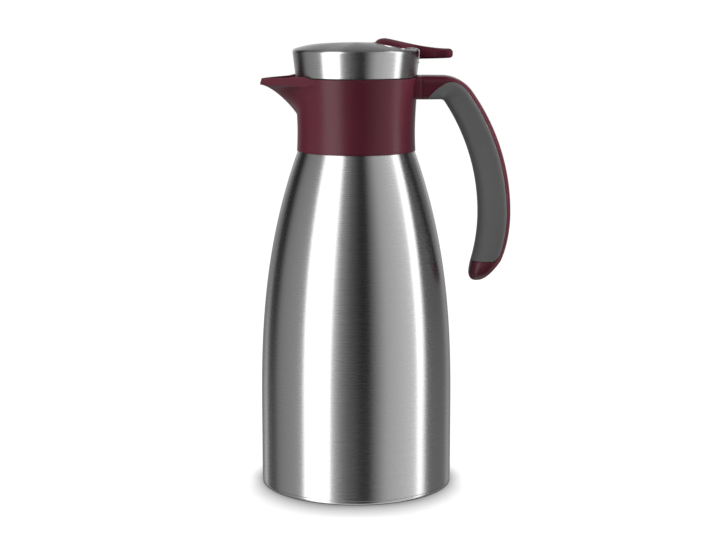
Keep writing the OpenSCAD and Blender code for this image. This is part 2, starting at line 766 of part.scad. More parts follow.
module stopper_crown() {
    color(dark_plastic) difference() {
        union() {
            bore(stopper_r, window_z, lid_z);
            bore(stopper_flange_r, lid_z - stopper_flange_t, lid_z);
        }
        bore(stopper_in_r, window_z - over, lid_z + over);
        for (i = [0:window_count - 1])
            rotate(i * 360 / window_count)
                block(stopper_in_r / 2, stopper_r + over, -window_w / 2, window_w / 2,
                    window_z - over, window_z + window_h);
        for (a = lid_screw_angles)
            rotate(a) translate([lid_screw_orbit, 0, 0])
                bore(lid_screw_r + touch, lid_z - stopper_flange_t - over, lid_z + over, $fn = 32);
    }
}

module stopper_seal() {
    color(silicone) ring(mouth_r - 0.2, stopper_r - seal_groove + seal_slack,
        seal_z + seal_slack, seal_z + seal_h - seal_slack);
}

// ---------- valve ----------
module valve_stem() {
    top_z = fork_z + fork_r + seat + stem_flange_t + over;
    color(steel) {
        bore(stem_r, stem_foot_z, top_z, $fn = 48);
        bore(stem_flange_r, fork_z - fork_r - seat - stem_flange_t, fork_z - fork_r - seat, $fn = 48);
    }
}

module stem_clip() {
    z = fork_z + fork_r + seat;
    color(steel) ring(stem_flange_r, stem_r + touch, z, z + stem_flange_t, $fn = 48);
}

module valve_plug() {
    lip_r = disc_hole_r + 1;
    color(dark_plastic) difference() {
        union() {
            bore(disc_r - over, plug_z, spring_z);
            bore(disc_hole_r - touch, disc_z - over, plug_z + over);
            bore(lip_r, disc_z - 1.4, disc_z - touch);
        }
        bore(stem_r + touch, stem_foot_z, spring_z + over, $fn = 48);
    }
}

module valve_seal() {
    color(silicone) ring(disc_r, disc_hole_r, disc_z, plug_z);
}

// Spring with one closed turn at each end
function coil_height(turn, span) =
    let (closed = wire_d + 0.1, pitch = (span - 2 * closed) / (coil_turns - 2))
    turn < 1 ? turn * closed
    : turn < coil_turns - 1 ? closed + (turn - 1) * pitch
    : span - (coil_turns - turn) * closed;

module valve_spring() {
    per_turn = 14;
    sides = 6;
    z0 = spring_z + wire_d / 2 + touch;
    span = guide_z - spring_z - wire_d - 2 * touch;
    color(steel) loft([for (i = [0:coil_turns * per_turn])
        let (a = i * 360 / per_turn, z = z0 + coil_height(i / per_turn, span))
        [for (j = [0:sides - 1])
            let (b = j * 360 / sides, r = coil_r + wire_d / 2 * sin(b))
            [r * cos(a), r * sin(a), z + wire_d / 2 * cos(b)]]]);
}

// ---------- lever ----------
// Half width of the lever at x
function lever_half(x) =
    x < head_x
        ? head_w * pow(max(0, 1 - pow((head_x - x) / (head_x - nose_x), 2.5)), 0.4)
        : x < neck_x
            ? lerp(head_w, neck_w, ease((x - head_x) / (neck_x - head_x)))
            : lerp(neck_w, tail_w, ease((x - neck_x - 2) / 12))
                * pow(max(0, 1 - pow(clamp01((x - tail_x + 9) / 9), 3)), 0.4);

// Height of the lever's top line at x
function lever_crest(x) =
    x < crest_x
        ? lerp(dome_height(nose_x) - 1, lever_top_z,
            pow(max(0, 1 - pow((crest_x - x) / (crest_x - nose_x), 2.4)), 1 / 2.4))
        : let (t = clamp01((x - crest_x) / (tail_x - 4 - crest_x)))
            lerp(tail_top_z, lever_top_z, pow(1 - pow(t, 1.15), 1.65))
            - 1.6 * pow(clamp01((x - tail_x + 3) / 3), 3);

function lever_under(x) =
    lerp(head_under_z, tail_z, ease((x - pivot_x - 1) / (neck_x - pivot_x - 1)))
    + 0.9 * clamp01((x - neck_x) / (tail_x - neck_x)) + 1.4 * pow(clamp01((x - tail_x + 3) / 3), 3);

// Height of the lever's side line, just above the dome along the head
function lever_side(x) =
    lerp(dome_height(norm([x, lever_half(x)])) - 0.2, (lever_crest(x) + lever_under(x)) / 2,
        ease((x - neck_x + 5) / 5));

lever_xs = concat(
    [for (t = [0.01, 0.06, 0.16, 0.3, 0.48, 0.7, 1]) lerp(nose_x, crest_x, t)],
    [for (i = [1:4]) lerp(crest_x, head_x, i / 4)],
    [for (i = [1:9]) lerp(head_x, neck_x, i / 9)],
    [for (i = [1:4]) lerp(neck_x, tail_x - 9, i / 4)],
    [for (t = [0.3, 0.55, 0.75, 0.88, 0.96, 0.995]) lerp(tail_x - 9, tail_x, t)]
);

// Outline of the lever from above, run out past the tail for the cut in the lid cap
module lever_plan() {
    xs = [for (x = lever_xs) if (x <= neck_x) x];
    end = cap_top_r + 2 * over;
    polygon(concat(
        [[nose_x, 0]],
        [for (x = xs) [x, -lever_half(x)]],
        [[end, -lever_half(neck_x)], [end, lever_half(neck_x)]],
        [for (x = flip(xs)) [x, lever_half(x)]]
    ));
}

function lever_ring(x) =
    let (
        w = lever_half(x),
        side = lever_side(x),
        up = lever_crest(x) - side,
        down = (side - lever_under(x)) * min(1, 0.3 + (x - nose_x) / 3),
        square = lerp(2.3, 5, ease((x - neck_x + 8) / 10))
    )
    [for (i = [0:23])
        let (a = i * 15, top = a < 180, p = 2 / (top ? square : 5))
        [x, w * spow(cos(a), p), side + (top ? up : down) * spow(sin(a), p)]];

module lever() {
    color(plum) difference() {
        union() {
            loft([for (x = lever_xs) lever_ring(x)]);
            block(pivot_x - 2, pivot_x + 2, -boss_w / 2, boss_w / 2, pivot_z, head_under_z + over);
            cross_bar(pivot_x, pivot_z, boss_r, -boss_w / 2, boss_w / 2);
            block(fork_slot + 3, pivot_x, -arm_w / 2, arm_w / 2, fork_z - arm_h / 2, fork_z + arm_h / 2);
            block(fork_slot + 2.6, fork_slot + 6, -fork_w, fork_w, fork_z - arm_h / 2, fork_z + arm_h / 2);
            for (side = [-1, 1]) {
                y0 = min(side * fork_slot, side * fork_w);
                block(0, fork_slot + 3, y0, y0 + fork_w - fork_slot, fork_z - 0.8, fork_z + 0.8);
                cross_bar(0, fork_z, fork_r, y0, y0 + fork_w - fork_slot);
            }
        }
        cross_bar(pivot_x, pivot_z, pin_r + touch, -boss_w, boss_w);
    }
}

module lever_pin() {
    color(steel) cross_bar(pivot_x, pivot_z, pin_r, -ear_y - ear_t, ear_y + ear_t);
}

outer_shell();
shell_bottom();
vacuum_seal();
getter();
inner_flask();
base_cup();
collar();
neck_gasket();
thread_ring();
handle_spine();
handle_grip();
handle_screw();
lid_cap();
lid_core();
lid_screws();
stopper_cup();
stopper_crown();
stopper_seal();
lever();
lever_pin();
valve_stem();
stem_clip();
valve_plug();
valve_seal();
valve_spring();
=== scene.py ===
import json
import math
from collections import namedtuple
from math import acos, asin, atan2, cos, pi, radians, sin, sqrt

import bmesh
import bpy
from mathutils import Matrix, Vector


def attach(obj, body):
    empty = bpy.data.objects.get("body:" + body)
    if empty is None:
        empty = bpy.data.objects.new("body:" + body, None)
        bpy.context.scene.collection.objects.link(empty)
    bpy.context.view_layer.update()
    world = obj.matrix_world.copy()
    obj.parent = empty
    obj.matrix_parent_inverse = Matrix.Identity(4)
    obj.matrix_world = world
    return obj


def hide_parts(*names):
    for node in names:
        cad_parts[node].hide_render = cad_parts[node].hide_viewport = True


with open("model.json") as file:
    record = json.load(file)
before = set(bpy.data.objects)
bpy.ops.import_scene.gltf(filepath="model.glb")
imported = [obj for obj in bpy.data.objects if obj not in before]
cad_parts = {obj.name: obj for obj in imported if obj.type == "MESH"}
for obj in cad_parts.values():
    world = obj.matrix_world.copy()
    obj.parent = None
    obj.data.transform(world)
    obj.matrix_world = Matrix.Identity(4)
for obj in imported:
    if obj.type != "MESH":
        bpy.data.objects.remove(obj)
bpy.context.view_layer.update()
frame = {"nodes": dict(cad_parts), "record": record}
MM = 0.001
scene = bpy.context.scene


# ---------------------------------------------------------------- small maths
def lerp(a, b, t):
    return a + (b - a) * t


def clamp01(t):
    return max(0.0, min(1.0, t))


def ease(t):
    return (1 - cos(pi * clamp01(t))) / 2


def smooth(t):
    t = clamp01(t)
    return t * t * (3 - 2 * t)


def spow(v, p):
    return math.copysign(abs(v) ** p, v)


def table(x, rows):
    if x <= rows[0][0]:
        return rows[0][1]
    for (x0, y0), (x1, y1) in zip(rows, rows[1:]):
        if x <= x1:
            return lerp(y0, y1, (x - x0) / (x1 - x0))
    return rows[-1][1]


def arc(c, r, a):
    return (c[0] + r * cos(radians(a)), c[1] + r * sin(radians(a)))


# ---------------------------------------------------------------- materials
class Mat:
    def __init__(self, name):
        self.mat = bpy.data.materials.new(name)
        self.mat.use_nodes = True
        self.nt = self.mat.node_tree
        self.bsdf = self.nt.nodes["Principled BSDF"]

    def add(self, kind, **props):
        n = self.nt.nodes.new(kind)
        for k, v in props.items():
            setattr(n, k, v)
        return n

    def link(self, a, b):
        self.nt.links.new(a, b)

    def set(self, **values):
        for k, v in values.items():
            self.bsdf.inputs[k.replace("_", " ")].default_value = v
        return self

    def coords(self):
        return self.add("ShaderNodeTexCoord").outputs["Object"]

    def math(self, op, a, b=None, c=None):
        n = self.add("ShaderNodeMath", operation=op)
        for i, v in enumerate((a, b, c)):
            if v is None:
                continue
            if isinstance(v, (int, float)):
                n.inputs[i].default_value = v
            else:
                self.link(v, n.inputs[i])
        return n.outputs[0]

    def noise(self, vector, scale, detail=3.0, rough=0.5):
        n = self.add("ShaderNodeTexNoise")
        n.inputs["Scale"].default_value = scale
        n.inputs["Detail"].default_value = detail
        n.inputs["Roughness"].default_value = rough
        self.link(vector, n.inputs["Vector"])
        return n.outputs["Fac"]

    def remap(self, value, lo, hi, a=0.0, b=1.0):
        n = self.add("ShaderNodeMapRange")
        for k, v in (("From Min", a), ("From Max", b), ("To Min", lo), ("To Max", hi)):
            n.inputs[k].default_value = v
        self.link(value, n.inputs["Value"])
        return n.outputs["Result"]

    def tint(self, value, dark, light):
        n = self.add("ShaderNodeMix", data_type="RGBA")
        n.inputs["A"].default_value = (*dark, 1)
        n.inputs["B"].default_value = (*light, 1)
        self.link(value, n.inputs["Factor"])
        self.link(n.outputs["Result"], self.bsdf.inputs["Base Color"])

    def bump(self, height, strength, distance):
        n = self.add("ShaderNodeBump")
        n.inputs["Strength"].default_value = strength
        n.inputs["Distance"].default_value = distance
        self.link(height, n.inputs["Height"])
        self.link(n.outputs["Normal"], self.bsdf.inputs["Normal"])


def turned_vector(m, around, along):
    """Coordinates that run slowly round the Z axis and fast along the profile.

    Noise on them becomes turned lines.
    """
    sep = m.add("ShaderNodeSeparateXYZ")
    m.link(m.coords(), sep.inputs[0])
    x, y, z = sep.outputs
    r = m.math("SQRT", m.math("ADD", m.math("MULTIPLY", x, x), m.math("MULTIPLY_ADD", y, y, 1e-9)))
    com = m.add("ShaderNodeCombineXYZ")
    m.link(m.math("MULTIPLY", m.math("DIVIDE", x, r), around), com.inputs[0])
    m.link(m.math("MULTIPLY", m.math("DIVIDE", y, r), around), com.inputs[1])
    m.link(m.math("MULTIPLY", m.math("SUBTRACT", z, r), along), com.inputs[2])
    return com.outputs[0]


def brushed_steel(name, base, rough, aniso):
    """Sheet brushed round the axis: reflections stay crisp round the body and smear along it."""
    m = Mat(name).set(Metallic=1.0, Anisotropic=aniso, Anisotropic_Rotation=0.25)
    tangent = m.add("ShaderNodeTangent", direction_type="RADIAL", axis="Z")
    m.link(tangent.outputs[0], m.bsdf.inputs["Tangent"])
    fine = m.noise(turned_vector(m, 1.3, 3600.0), 1.0, 2.0, 0.6)
    broad = m.noise(turned_vector(m, 0.6, 420.0), 1.0, 2.0)
    cloud = m.noise(m.coords(), 28.0, 2.0)
    mixed = m.math("ADD", m.math("MULTIPLY", fine, 0.7), m.math("MULTIPLY", broad, 0.3))
    m.tint(m.remap(mixed, 0, 1, 0.3, 0.7), [c * 0.98 for c in base], [min(1, c * 1.02) for c in base])
    worn = m.remap(fine, rough * 0.97, rough * 1.03, 0.3, 0.7)
    m.link(m.math("ADD", worn, m.math("MULTIPLY", cloud, 0.01)), m.bsdf.inputs["Roughness"])
    m.bump(fine, 0.006, 0.00003)
    return m.mat


def plain_steel(name, base, rough):
    m = Mat(name).set(Metallic=1.0)
    c = m.noise(m.coords(), 420.0, 3.0)
    m.tint(c, [v * 0.92 for v in base], [min(1, v * 1.05) for v in base])
    m.link(m.remap(c, rough * 0.8, rough * 1.25), m.bsdf.inputs["Roughness"])
    return m.mat


def moulded(name, base, rough, **extra):
    """Moulded plastic with a fine spark-eroded grain."""
    grain, vary = 0.00035, 0.08
    m = Mat(name).set(**extra)
    fine = m.noise(m.coords(), 1 / grain, 2.0)
    cloud = m.noise(m.coords(), 45.0, 3.0)
    m.tint(cloud, [v * (1 - vary) for v in base], [v * (1 + vary) for v in base])
    worn = m.remap(cloud, rough * 0.93, rough * 1.07, 0.3, 0.7)
    m.link(m.math("ADD", worn, m.math("MULTIPLY", fine, 0.015)), m.bsdf.inputs["Roughness"])
    m.bump(fine, 0.05, grain * 0.15)
    return m.mat


def soft_touch(name, base, rough):
    m = Mat(name).set(Sheen_Weight=0.08, Sheen_Roughness=0.5, Specular_IOR_Level=0.3)
    fine = m.noise(m.coords(), 2600.0, 2.0, 0.6)
    dust = m.noise(m.coords(), 90.0, 4.0, 0.6)
    m.tint(m.math("ADD", m.math("MULTIPLY", fine, 0.5), m.math("MULTIPLY", dust, 0.5)),
           [v * 0.86 for v in base], [v * 1.14 for v in base])
    m.link(m.remap(dust, rough * 0.94, rough * 1.06, 0.3, 0.7), m.bsdf.inputs["Roughness"])
    m.bump(fine, 0.22, 0.00008)
    return m.mat


SHEET = ((0.60, 0.60, 0.605), 0.27, 0.93)
STEEL = brushed_steel("steel_brushed", *SHEET)
CAP_STEEL = brushed_steel("steel_lid", *SHEET)
# Painted highlight: the bead's steel is brighter than the cap's, so the rolled edge shows as a bright line.
HIGHLIGHT_EDGE_STEEL = plain_steel("steel_edge_painted_highlight", (0.93, 0.93, 0.94), 0.28)
INNER_STEEL = plain_steel("steel_inner", (0.58, 0.58, 0.59), 0.3)
SMALL_STEEL = plain_steel("steel_small", (0.65, 0.65, 0.66), 0.2)
SOLDER = plain_steel("solder", (0.45, 0.45, 0.46), 0.55)
PLUM = moulded("plum_plastic", (0.071, 0.0088, 0.0184), 0.30, IOR=1.5, Specular_IOR_Level=0.36)
# Painted shade: the lever's plum is a darker copy of the collar's plum, standing in for the shade on its top.
SHADED_LEVER_PLUM = moulded("plum_lever_painted_shade", (0.054, 0.0069, 0.0143), 0.55, IOR=1.5, Specular_IOR_Level=0.12)
GRIP = soft_touch("grip_soft", (0.110, 0.110, 0.112), 0.5)
DARK = moulded("dark_plastic", (0.022, 0.022, 0.024), 0.42)
SILICONE = moulded("silicone", (0.60, 0.60, 0.58), 0.5, Subsurface_Weight=0.15, Subsurface_Scale=0.002)

LOOKS = {
    "steel_brushed": STEEL, "steel_inner": INNER_STEEL, "steel_small": SMALL_STEEL, "solder": SOLDER,
    "plum_plastic": PLUM, "grip_soft": GRIP, "dark_plastic": DARK, "silicone": SILICONE,
}
for row in frame["record"]["subparts"]:
    node, look = frame["nodes"][row["node"]], LOOKS[row["material_slot"]]
    if not node.material_slots:
        node.data.materials.append(look)
    for s in node.material_slots:
        s.material = look


# ---------------------------------------------------------------- mesh helpers
def solid(name, verts, faces, body, look, slot, sharp=32.0):
    """A smooth-shaded object from vertices in mm, riding on a body unless that is None."""
    me = bpy.data.meshes.new(name)
    me.from_pydata([[c * MM for c in v] for v in verts], [], faces)
    bm = bmesh.new()
    bm.from_mesh(me)
    bmesh.ops.remove_doubles(bm, verts=bm.verts, dist=2e-7)
    bmesh.ops.dissolve_degenerate(bm, edges=bm.edges, dist=1e-7)
    bmesh.ops.recalc_face_normals(bm, faces=bm.faces)
    bm.to_mesh(me)
    bm.free()
    me.shade_smooth()
    me.set_sharp_from_angle(angle=radians(sharp))
    me.materials.append(look)
    ob = bpy.data.objects.new(name, me)
    scene.collection.objects.link(ob)
    if body:
        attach(ob, body)
    return ob


def loft_data(rings, loop=False):
    """Quads between rings of equal count, with end caps unless the rings form a loop."""
    n, m = len(rings[0]), len(rings)
    verts = [p for r in rings for p in r]
    faces = []
    for i in range(m if loop else m - 1):
        a, b = i * n, ((i + 1) % m) * n
        for j in range(n):
            k = (j + 1) % n
            faces.append((a + j, b + j, b + k, a + k))
    if not loop:
        faces.append(tuple(range(n)))
        faces.append(tuple((m - 1) * n + j for j in reversed(range(n))))
    return verts, faces


def lathe_data(profile, segs, closed=True):
    """Profile of (r, z) turned round Z; points on the axis become poles."""
    verts, rows, faces = [], [], []
    for r, z in profile:
        if r < 1e-6:
            rows.append([len(verts)] * segs)
            verts.append((0, 0, z))
        else:
            rows.append([len(verts) + j for j in range(segs)])
            verts += [(r * cos(2 * pi * j / segs), r * sin(2 * pi * j / segs), z) for j in range(segs)]
    pairs = list(zip(rows, rows[1:] + rows[:1])) if closed else list(zip(rows, rows[1:]))
    for a, b in pairs:
        if a[0] == a[1] and b[0] == b[1]:
            continue
        for j in range(segs):
            k = (j + 1) % segs
            f = []
            for v in (a[j], a[k], b[k], b[j]):
                if v not in f:
                    f.append(v)
            if len(f) > 2:
                faces.append(tuple(f))
    return verts, faces


def tube_data(path, r, sides=8):
    """A round tube along a closed path."""
    pts = [Vector(p) for p in path]
    n = len(pts)
    rings, up = [], None
    for i, p in enumerate(pts):
        t = (pts[(i + 1) % n] - pts[i - 1]).normalized()
        if up is None:
            up = t.orthogonal().normalized()
        up = (up - t * up.dot(t)).normalized()
        side = t.cross(up)
        rings.append([tuple(p + r * (up * cos(2 * pi * j / sides) + side * sin(2 * pi * j / sides)))
                      for j in range(sides)])
    return loft_data(rings, loop=True)


# ---------------------------------------------------------------- sizes, as in the part's source
BODY_R, STRAIGHT, SHOULDER_Z, SHOULDER_R, DRAW = 64.5, 50.0, 226.4, 39.0, 2.52
WALL, FOOT_H, FOOT_R, FOOT_EDGE, RECESS = 0.8, 2.4, 64.2, 1.2, 3.0
RING_IN = FOOT_R - FOOT_EDGE - 8.5
NECK_OUT, LIP_Z, BEAD_Z = 31.6, 240.0, 233.4
TUBE_IN = NECK_OUT + 2.4
TUBE_OUT = TUBE_IN + WALL
COLLAR_Z, COLLAR_H, BASIN_R, REACH, TIP_R = 275.1, 48.7, 38.2, 63.8, 3.5
COLLAR_LOW_R, WAIST_R, COLLAR_TOP_R = 39.6, 39.2, 41.3
ROOT_Z, TIP_LOW = 250.5, 270.2
CHAN_LOW, CHAN_R, CHAN_TIP, CHAN_REACH = 272.2, 38.0, 1.8, 62.1
RING_TOP = 256.0
LID_Z = COLLAR_Z + 0.35
CAP_Z = LID_Z + 0.4


def drawn_wall(r0, r1, z1, steps):
    return [(r0 - (r0 - r1) * (i / steps) ** DRAW, lerp(STRAIGHT, z1, i / steps)) for i in range(steps + 1)]


# ---------------------------------------------------------------- steel body and foot
shell_in = BODY_R - WALL
profile = [(BODY_R - 0.3, FOOT_H), (BODY_R, FOOT_H + 0.3), (BODY_R, 20.0), (BODY_R, 36.0)]
profile += drawn_wall(BODY_R, SHOULDER_R, SHOULDER_Z, 72)
profile += [
    (TUBE_OUT, SHOULDER_Z), (TUBE_OUT, BEAD_Z), (TUBE_OUT + 1, BEAD_Z + 0.8), (TUBE_OUT + 1, BEAD_Z + 1.6),
    (TUBE_OUT, BEAD_Z + 2.4), (TUBE_OUT, LIP_Z - 2.6), (NECK_OUT + 1.8, LIP_Z), (NECK_OUT + 0.05, LIP_Z),
    (NECK_OUT + 0.05, LIP_Z - 1.4), (TUBE_IN, LIP_Z - 3.4), (TUBE_IN, SHOULDER_Z - WALL),
]
profile += reversed(drawn_wall(shell_in, SHOULDER_R - WALL, SHOULDER_Z - WALL, 24))
profile += [(shell_in, FOOT_H)]
body_shell = solid("body_shell", *lathe_data(profile, 224), "jug", STEEL, "steel_brushed")
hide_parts("outer_shell")

edge_c = (FOOT_R - FOOT_EDGE, FOOT_EDGE)
rim_w = WALL + 0.3 + 0.5
profile = [(0, RECESS), (RING_IN - RECESS, RECESS), (RING_IN - 0.6, 0.15), (RING_IN, 0)]
profile += [(FOOT_R - FOOT_EDGE, 0)] + [arc(edge_c, FOOT_EDGE, a) for a in range(-80, 1, 10)]
profile += [
    (FOOT_R, FOOT_H - 0.25), (FOOT_R - 0.25, FOOT_H), (FOOT_R - rim_w, FOOT_H), (FOOT_R - rim_w - 0.2, WALL),
    (RING_IN + 0.4, WALL), (RING_IN - RECESS + 0.4, RECESS + WALL), (0, RECESS + WALL),
]
foot = solid("foot_cup", *lathe_data(profile, 224, closed=False), "jug", STEEL, "steel_brushed")
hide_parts("base_cup")


# ---------------------------------------------------------------- collar with its beak
WAIST_Z = SHOULDER_Z + 0.28 * COLLAR_H


def collar_r(z):
    if z < WAIST_Z:
        return lerp(WAIST_R, COLLAR_LOW_R, ((WAIST_Z - z) / (WAIST_Z - SHOULDER_Z)) ** 2)
    return lerp(WAIST_R, COLLAR_TOP_R, clamp01((z - WAIST_Z) / (COLLAR_Z - WAIST_Z)) ** 1.6)


def beak(u):
    """How far the beak has grown at share u of the height from its root to its tip."""
    return 1 - (1 - clamp01(u) ** 1.12) ** 0.64


def nose(psi, r, reach, tip):
    """Distance at psi (degrees from -X) of a disc of radius r drawn out to a small nose."""
    if reach <= r + 0.02:
        return r
    c = reach - tip
    turn = acos((r - tip) / c)
    side = atan2(tip * sin(turn), c + tip * cos(turn))
    a = abs(radians(psi))
    if a < side:
        return c * cos(a) + sqrt(max(0.0, tip * tip - (c * sin(a)) ** 2))
    return r / cos(turn - a) if a < turn else r


def outer_nose(psi, z):
    r = collar_r(z)
    return nose(psi, r, lerp(r, REACH, beak((z - ROOT_Z) / (TIP_LOW - ROOT_Z))), TIP_R)


def inner_nose(psi, z):
    run = 1 - (1 - clamp01((z - RING_TOP) / (CHAN_LOW - RING_TOP))) ** 0.66
    reach = lerp(CHAN_R, CHAN_REACH, run)
    return max(BASIN_R, nose(psi, CHAN_R, reach, CHAN_TIP))


# height of the beak's upper edge over the distance from the axis
BEAK_TOP = [(42.0, 276.4), (44.0, 275.95), (46.0, 275.55), (51.0, 275.3), (56.0, 275.05), (60.0, 274.75),
            (63.8, 274.3)]
RIM_ROUND, SKIRT_R, POCKET_R, POCKET_Z, RING_SEAT = 0.45, 37.0, 37.2, (249, 253), 33.4
BEAD_GROOVE_Z = (229.4, 233.35)


def collar_column(psi):
    """Section of the collar at psi, from the shoulder up the outside, over the rim and down the inside."""
    ro = outer_nose(psi, COLLAR_Z)
    weight = smooth((ro - 41.35) / 1.2)
    z_t = COLLAR_Z + (table(ro * cos(radians(psi)), BEAK_TOP) - COLLAR_Z) * weight
    open_tip = 1 - smooth((abs(ro * sin(radians(psi))) - 1.6) / 0.5) if abs(psi) < 20 else 0.0
    z_t = lerp(z_t, CHAN_LOW + 0.1, open_tip)
    f = RIM_ROUND
    foot_r = collar_r(SHOULDER_Z)
    out = [(foot_r - 0.35, SHOULDER_Z), (foot_r - 0.1, SHOULDER_Z + 0.1), (foot_r, SHOULDER_Z + 0.4)]
    out += [(collar_r(z), z) for z in [lerp(SHOULDER_Z + 0.4, ROOT_Z, t / 12) for t in range(1, 13)]]
    heights = [lerp(ROOT_Z, TIP_LOW, 1 - (1 - i / 34) ** 1.6) for i in range(1, 35)]
    heights += [lerp(TIP_LOW, z_t - f, i / 3) for i in range(1, 4)]
    out += [(outer_nose(psi, z), z) for z in heights]
    out += [arc((ro - f, z_t - f), f, a) for a in (22, 45, 68, 90)]
    ri = inner_nose(psi, z_t)
    low = COLLAR_Z + (z_t - COLLAR_Z) * smooth((ri + f - 40.6) / 0.8)
    out.append((max(min(41.62, ro - f - 0.02), ri + f + 0.03), z_t))
    out.append((max(min(41.42, ro - f - 0.04), ri + f + 0.02), low))
    out += [arc((ri + f, low - f), f, a) for a in (90, 120, 150, 180)]
    for i in range(1, 27):
        w = 1 - i / 26
        z = RING_TOP + (low - f - RING_TOP) * (1 - (1 - w) ** 1.6)
        out.append((inner_nose(psi, z), z))
    groove_r = TUBE_OUT + 0.3
    out += [(BASIN_R, POCKET_Z[1]), (RING_SEAT, POCKET_Z[1]), (RING_SEAT, POCKET_Z[0]), (POCKET_R, POCKET_Z[0]),
            (POCKET_R, BEAD_GROOVE_Z[1]), (groove_r, BEAD_GROOVE_Z[1]), (groove_r, BEAD_GROOVE_Z[0]),
            (SKIRT_R, BEAD_GROOVE_Z[0]), (SKIRT_R, SHOULDER_Z)]
    return out


# angles from the beak's middle, close together there and wide apart round the back
half = [0.4 * i for i in range(0, 14)] + [5.2 + 0.55 * i for i in range(1, 30)] + \
       [21.15 + 0.9 * i for i in range(1, 48)] + [63.45 + 2.4 * i for i in range(1, 49)]
psis = half + [-p for p in reversed(half[1:]) if p < 179.9]
cols = [collar_column(p) for p in psis]
rings = [[(-cols[j][k][0] * cos(radians(p)), -cols[j][k][0] * sin(radians(p)), cols[j][k][1])
          for j, p in enumerate(psis)] for k in range(len(cols[0]))]
collar = solid("collar_spout", *loft_data(rings, loop=True), "jug", PLUM, "plum_plastic", sharp=38)
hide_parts("collar")

# ---------------------------------------------------------------- handle
HANDLE_REACH, DEPTH, WIDTH, ROOT_H, CROWN = 103.6, 22.0, 27.0, 15.6, 1.3
LEVEL, BEND_R, CROOK_R, LOW_OUT, LOW_IN, DROP, TOE_H = 13.2, 25.0, 4.0, 95.0, 115.0, 32.0, 13.4
GRIP_T, EDGE_W = 2.2, 3.0
HANDLE_Z = COLLAR_Z + CROWN
ROOT_X = 43.7
BULGE_Z = HANDLE_Z - 92.4
GRIP_END = BULGE_Z - DROP
INNER_X = HANDLE_REACH - DEPTH
BEND_C = (ROOT_X + LEVEL, HANDLE_Z - BEND_R)
CROOK_C = (ROOT_X + LEVEL - 1.4, HANDLE_Z - ROOT_H - CROOK_R)
SHARE = 1 - EDGE_W / DEPTH
TUCK, SLIM = 0.5, 0.5
ROOT_SQUARE, BEND_SQUARE, LIMB_SQUARE, TAPER = 7, 5, 2.9, 0.3
LEAF_SHARE, TOE_SHARE = 0.03, SHARE - 0.16

# One section of the handle: its outer and inner point in the plane y = 0, half its width, the exponent of
# its superellipse, how much it narrows inwards, the grip's share of its depth and the groove's depth.
Station = namedtuple("Station", "outer inner half square taper share groove")


def big_radius(c, r, reach):
    a, b = c[0] - reach, c[1] - BULGE_Z
    return (r * r - a * a - b * b) / (2 * (a + r))


UP_OUT, UP_IN = big_radius(BEND_C, BEND_R, HANDLE_REACH), big_radius(CROOK_C, CROOK_R, INNER_X)
OUT_C, IN_C = (HANDLE_REACH - UP_OUT, BULGE_Z), (INNER_X - UP_IN, BULGE_Z)
OUT_TURN = math.degrees(atan2(BEND_C[1] - OUT_C[1], BEND_C[0] - OUT_C[0]))
IN_TURN = math.degrees(atan2(CROOK_C[1] - IN_C[1], CROOK_C[0] - IN_C[0]))


LEAF_START, LEAF_LONG = 3.6, 23.0
BEND_LONG = BEND_R * radians(90 - OUT_TURN)


def leaf(run):
    """Grip share and groove depth at a distance along the handle, where the grip starts like a leaf."""
    t = clamp01((run - LEAF_START) / LEAF_LONG)
    share = LEAF_SHARE + (SHARE - LEAF_SHARE) * (1 - (1 - t) ** 2.15)
    return share, GRIP_T * clamp01((run - LEAF_START + 0.7) / 5)


def root_station(t, gripped=False):
    share, groove = leaf(t * LEVEL) if gripped else (LEAF_SHARE, 0.0)
    return Station((ROOT_X + t * LEVEL, HANDLE_Z), (lerp(ROOT_X, CROOK_C[0], t), HANDLE_Z - ROOT_H),
                   WIDTH / 2, lerp(ROOT_SQUARE, BEND_SQUARE, t), 0.0, share, groove)


def bend_station(t):
    return Station(arc(BEND_C, BEND_R, lerp(90, OUT_TURN, t)), arc(CROOK_C, CROOK_R, lerp(90, IN_TURN, t)),
                   WIDTH / 2 - SLIM * t, lerp(BEND_SQUARE, LIMB_SQUARE, ease(t)), lerp(0, TAPER, ease(t)),
                   *leaf(LEVEL + BEND_LONG * t))


def upper_station(t):
    return Station(arc(OUT_C, UP_OUT, lerp(OUT_TURN, 0, t)), arc(IN_C, UP_IN, lerp(IN_TURN, 0, t)),
                   WIDTH / 2 - SLIM, LIMB_SQUARE, TAPER, SHARE, GRIP_T)


def lower_station(t):
    d = (DROP - 0.4) * t
    x, z = arc((HANDLE_REACH - LOW_OUT, BULGE_Z), LOW_OUT, -math.degrees(asin(d / LOW_OUT)))
    return Station((x - TUCK * t ** 6, z),
                   arc((INNER_X - LOW_IN, BULGE_Z), LOW_IN, -math.degrees(asin(d / LOW_IN))),
                   WIDTH / 2 - SLIM - t, LIMB_SQUARE, TAPER, SHARE - 0.16 * t ** 14, GRIP_T)


TOE_OUT = HANDLE_REACH - TUCK - LOW_OUT * (1 - cos(asin(DROP / LOW_OUT)))
TOE_IN = INNER_X - LOW_IN * (1 - cos(asin(DROP / LOW_IN)))


def toe_station(v):
    d = TOE_OUT - TOE_IN
    z = GRIP_END - TOE_H * v
    return Station((TOE_OUT - 0.76 * d * (1 - (1 - v) ** 0.6), z),
                   (TOE_IN - 0.2 * TOE_H * v + 0.3 * d * (1 - sqrt(1 - v ** 4)), z),
                   (WIDTH / 2 - 1.5) * sqrt(1 - v ** 3), LIMB_SQUARE, TAPER * (1 - v), TOE_SHARE, 0.0)


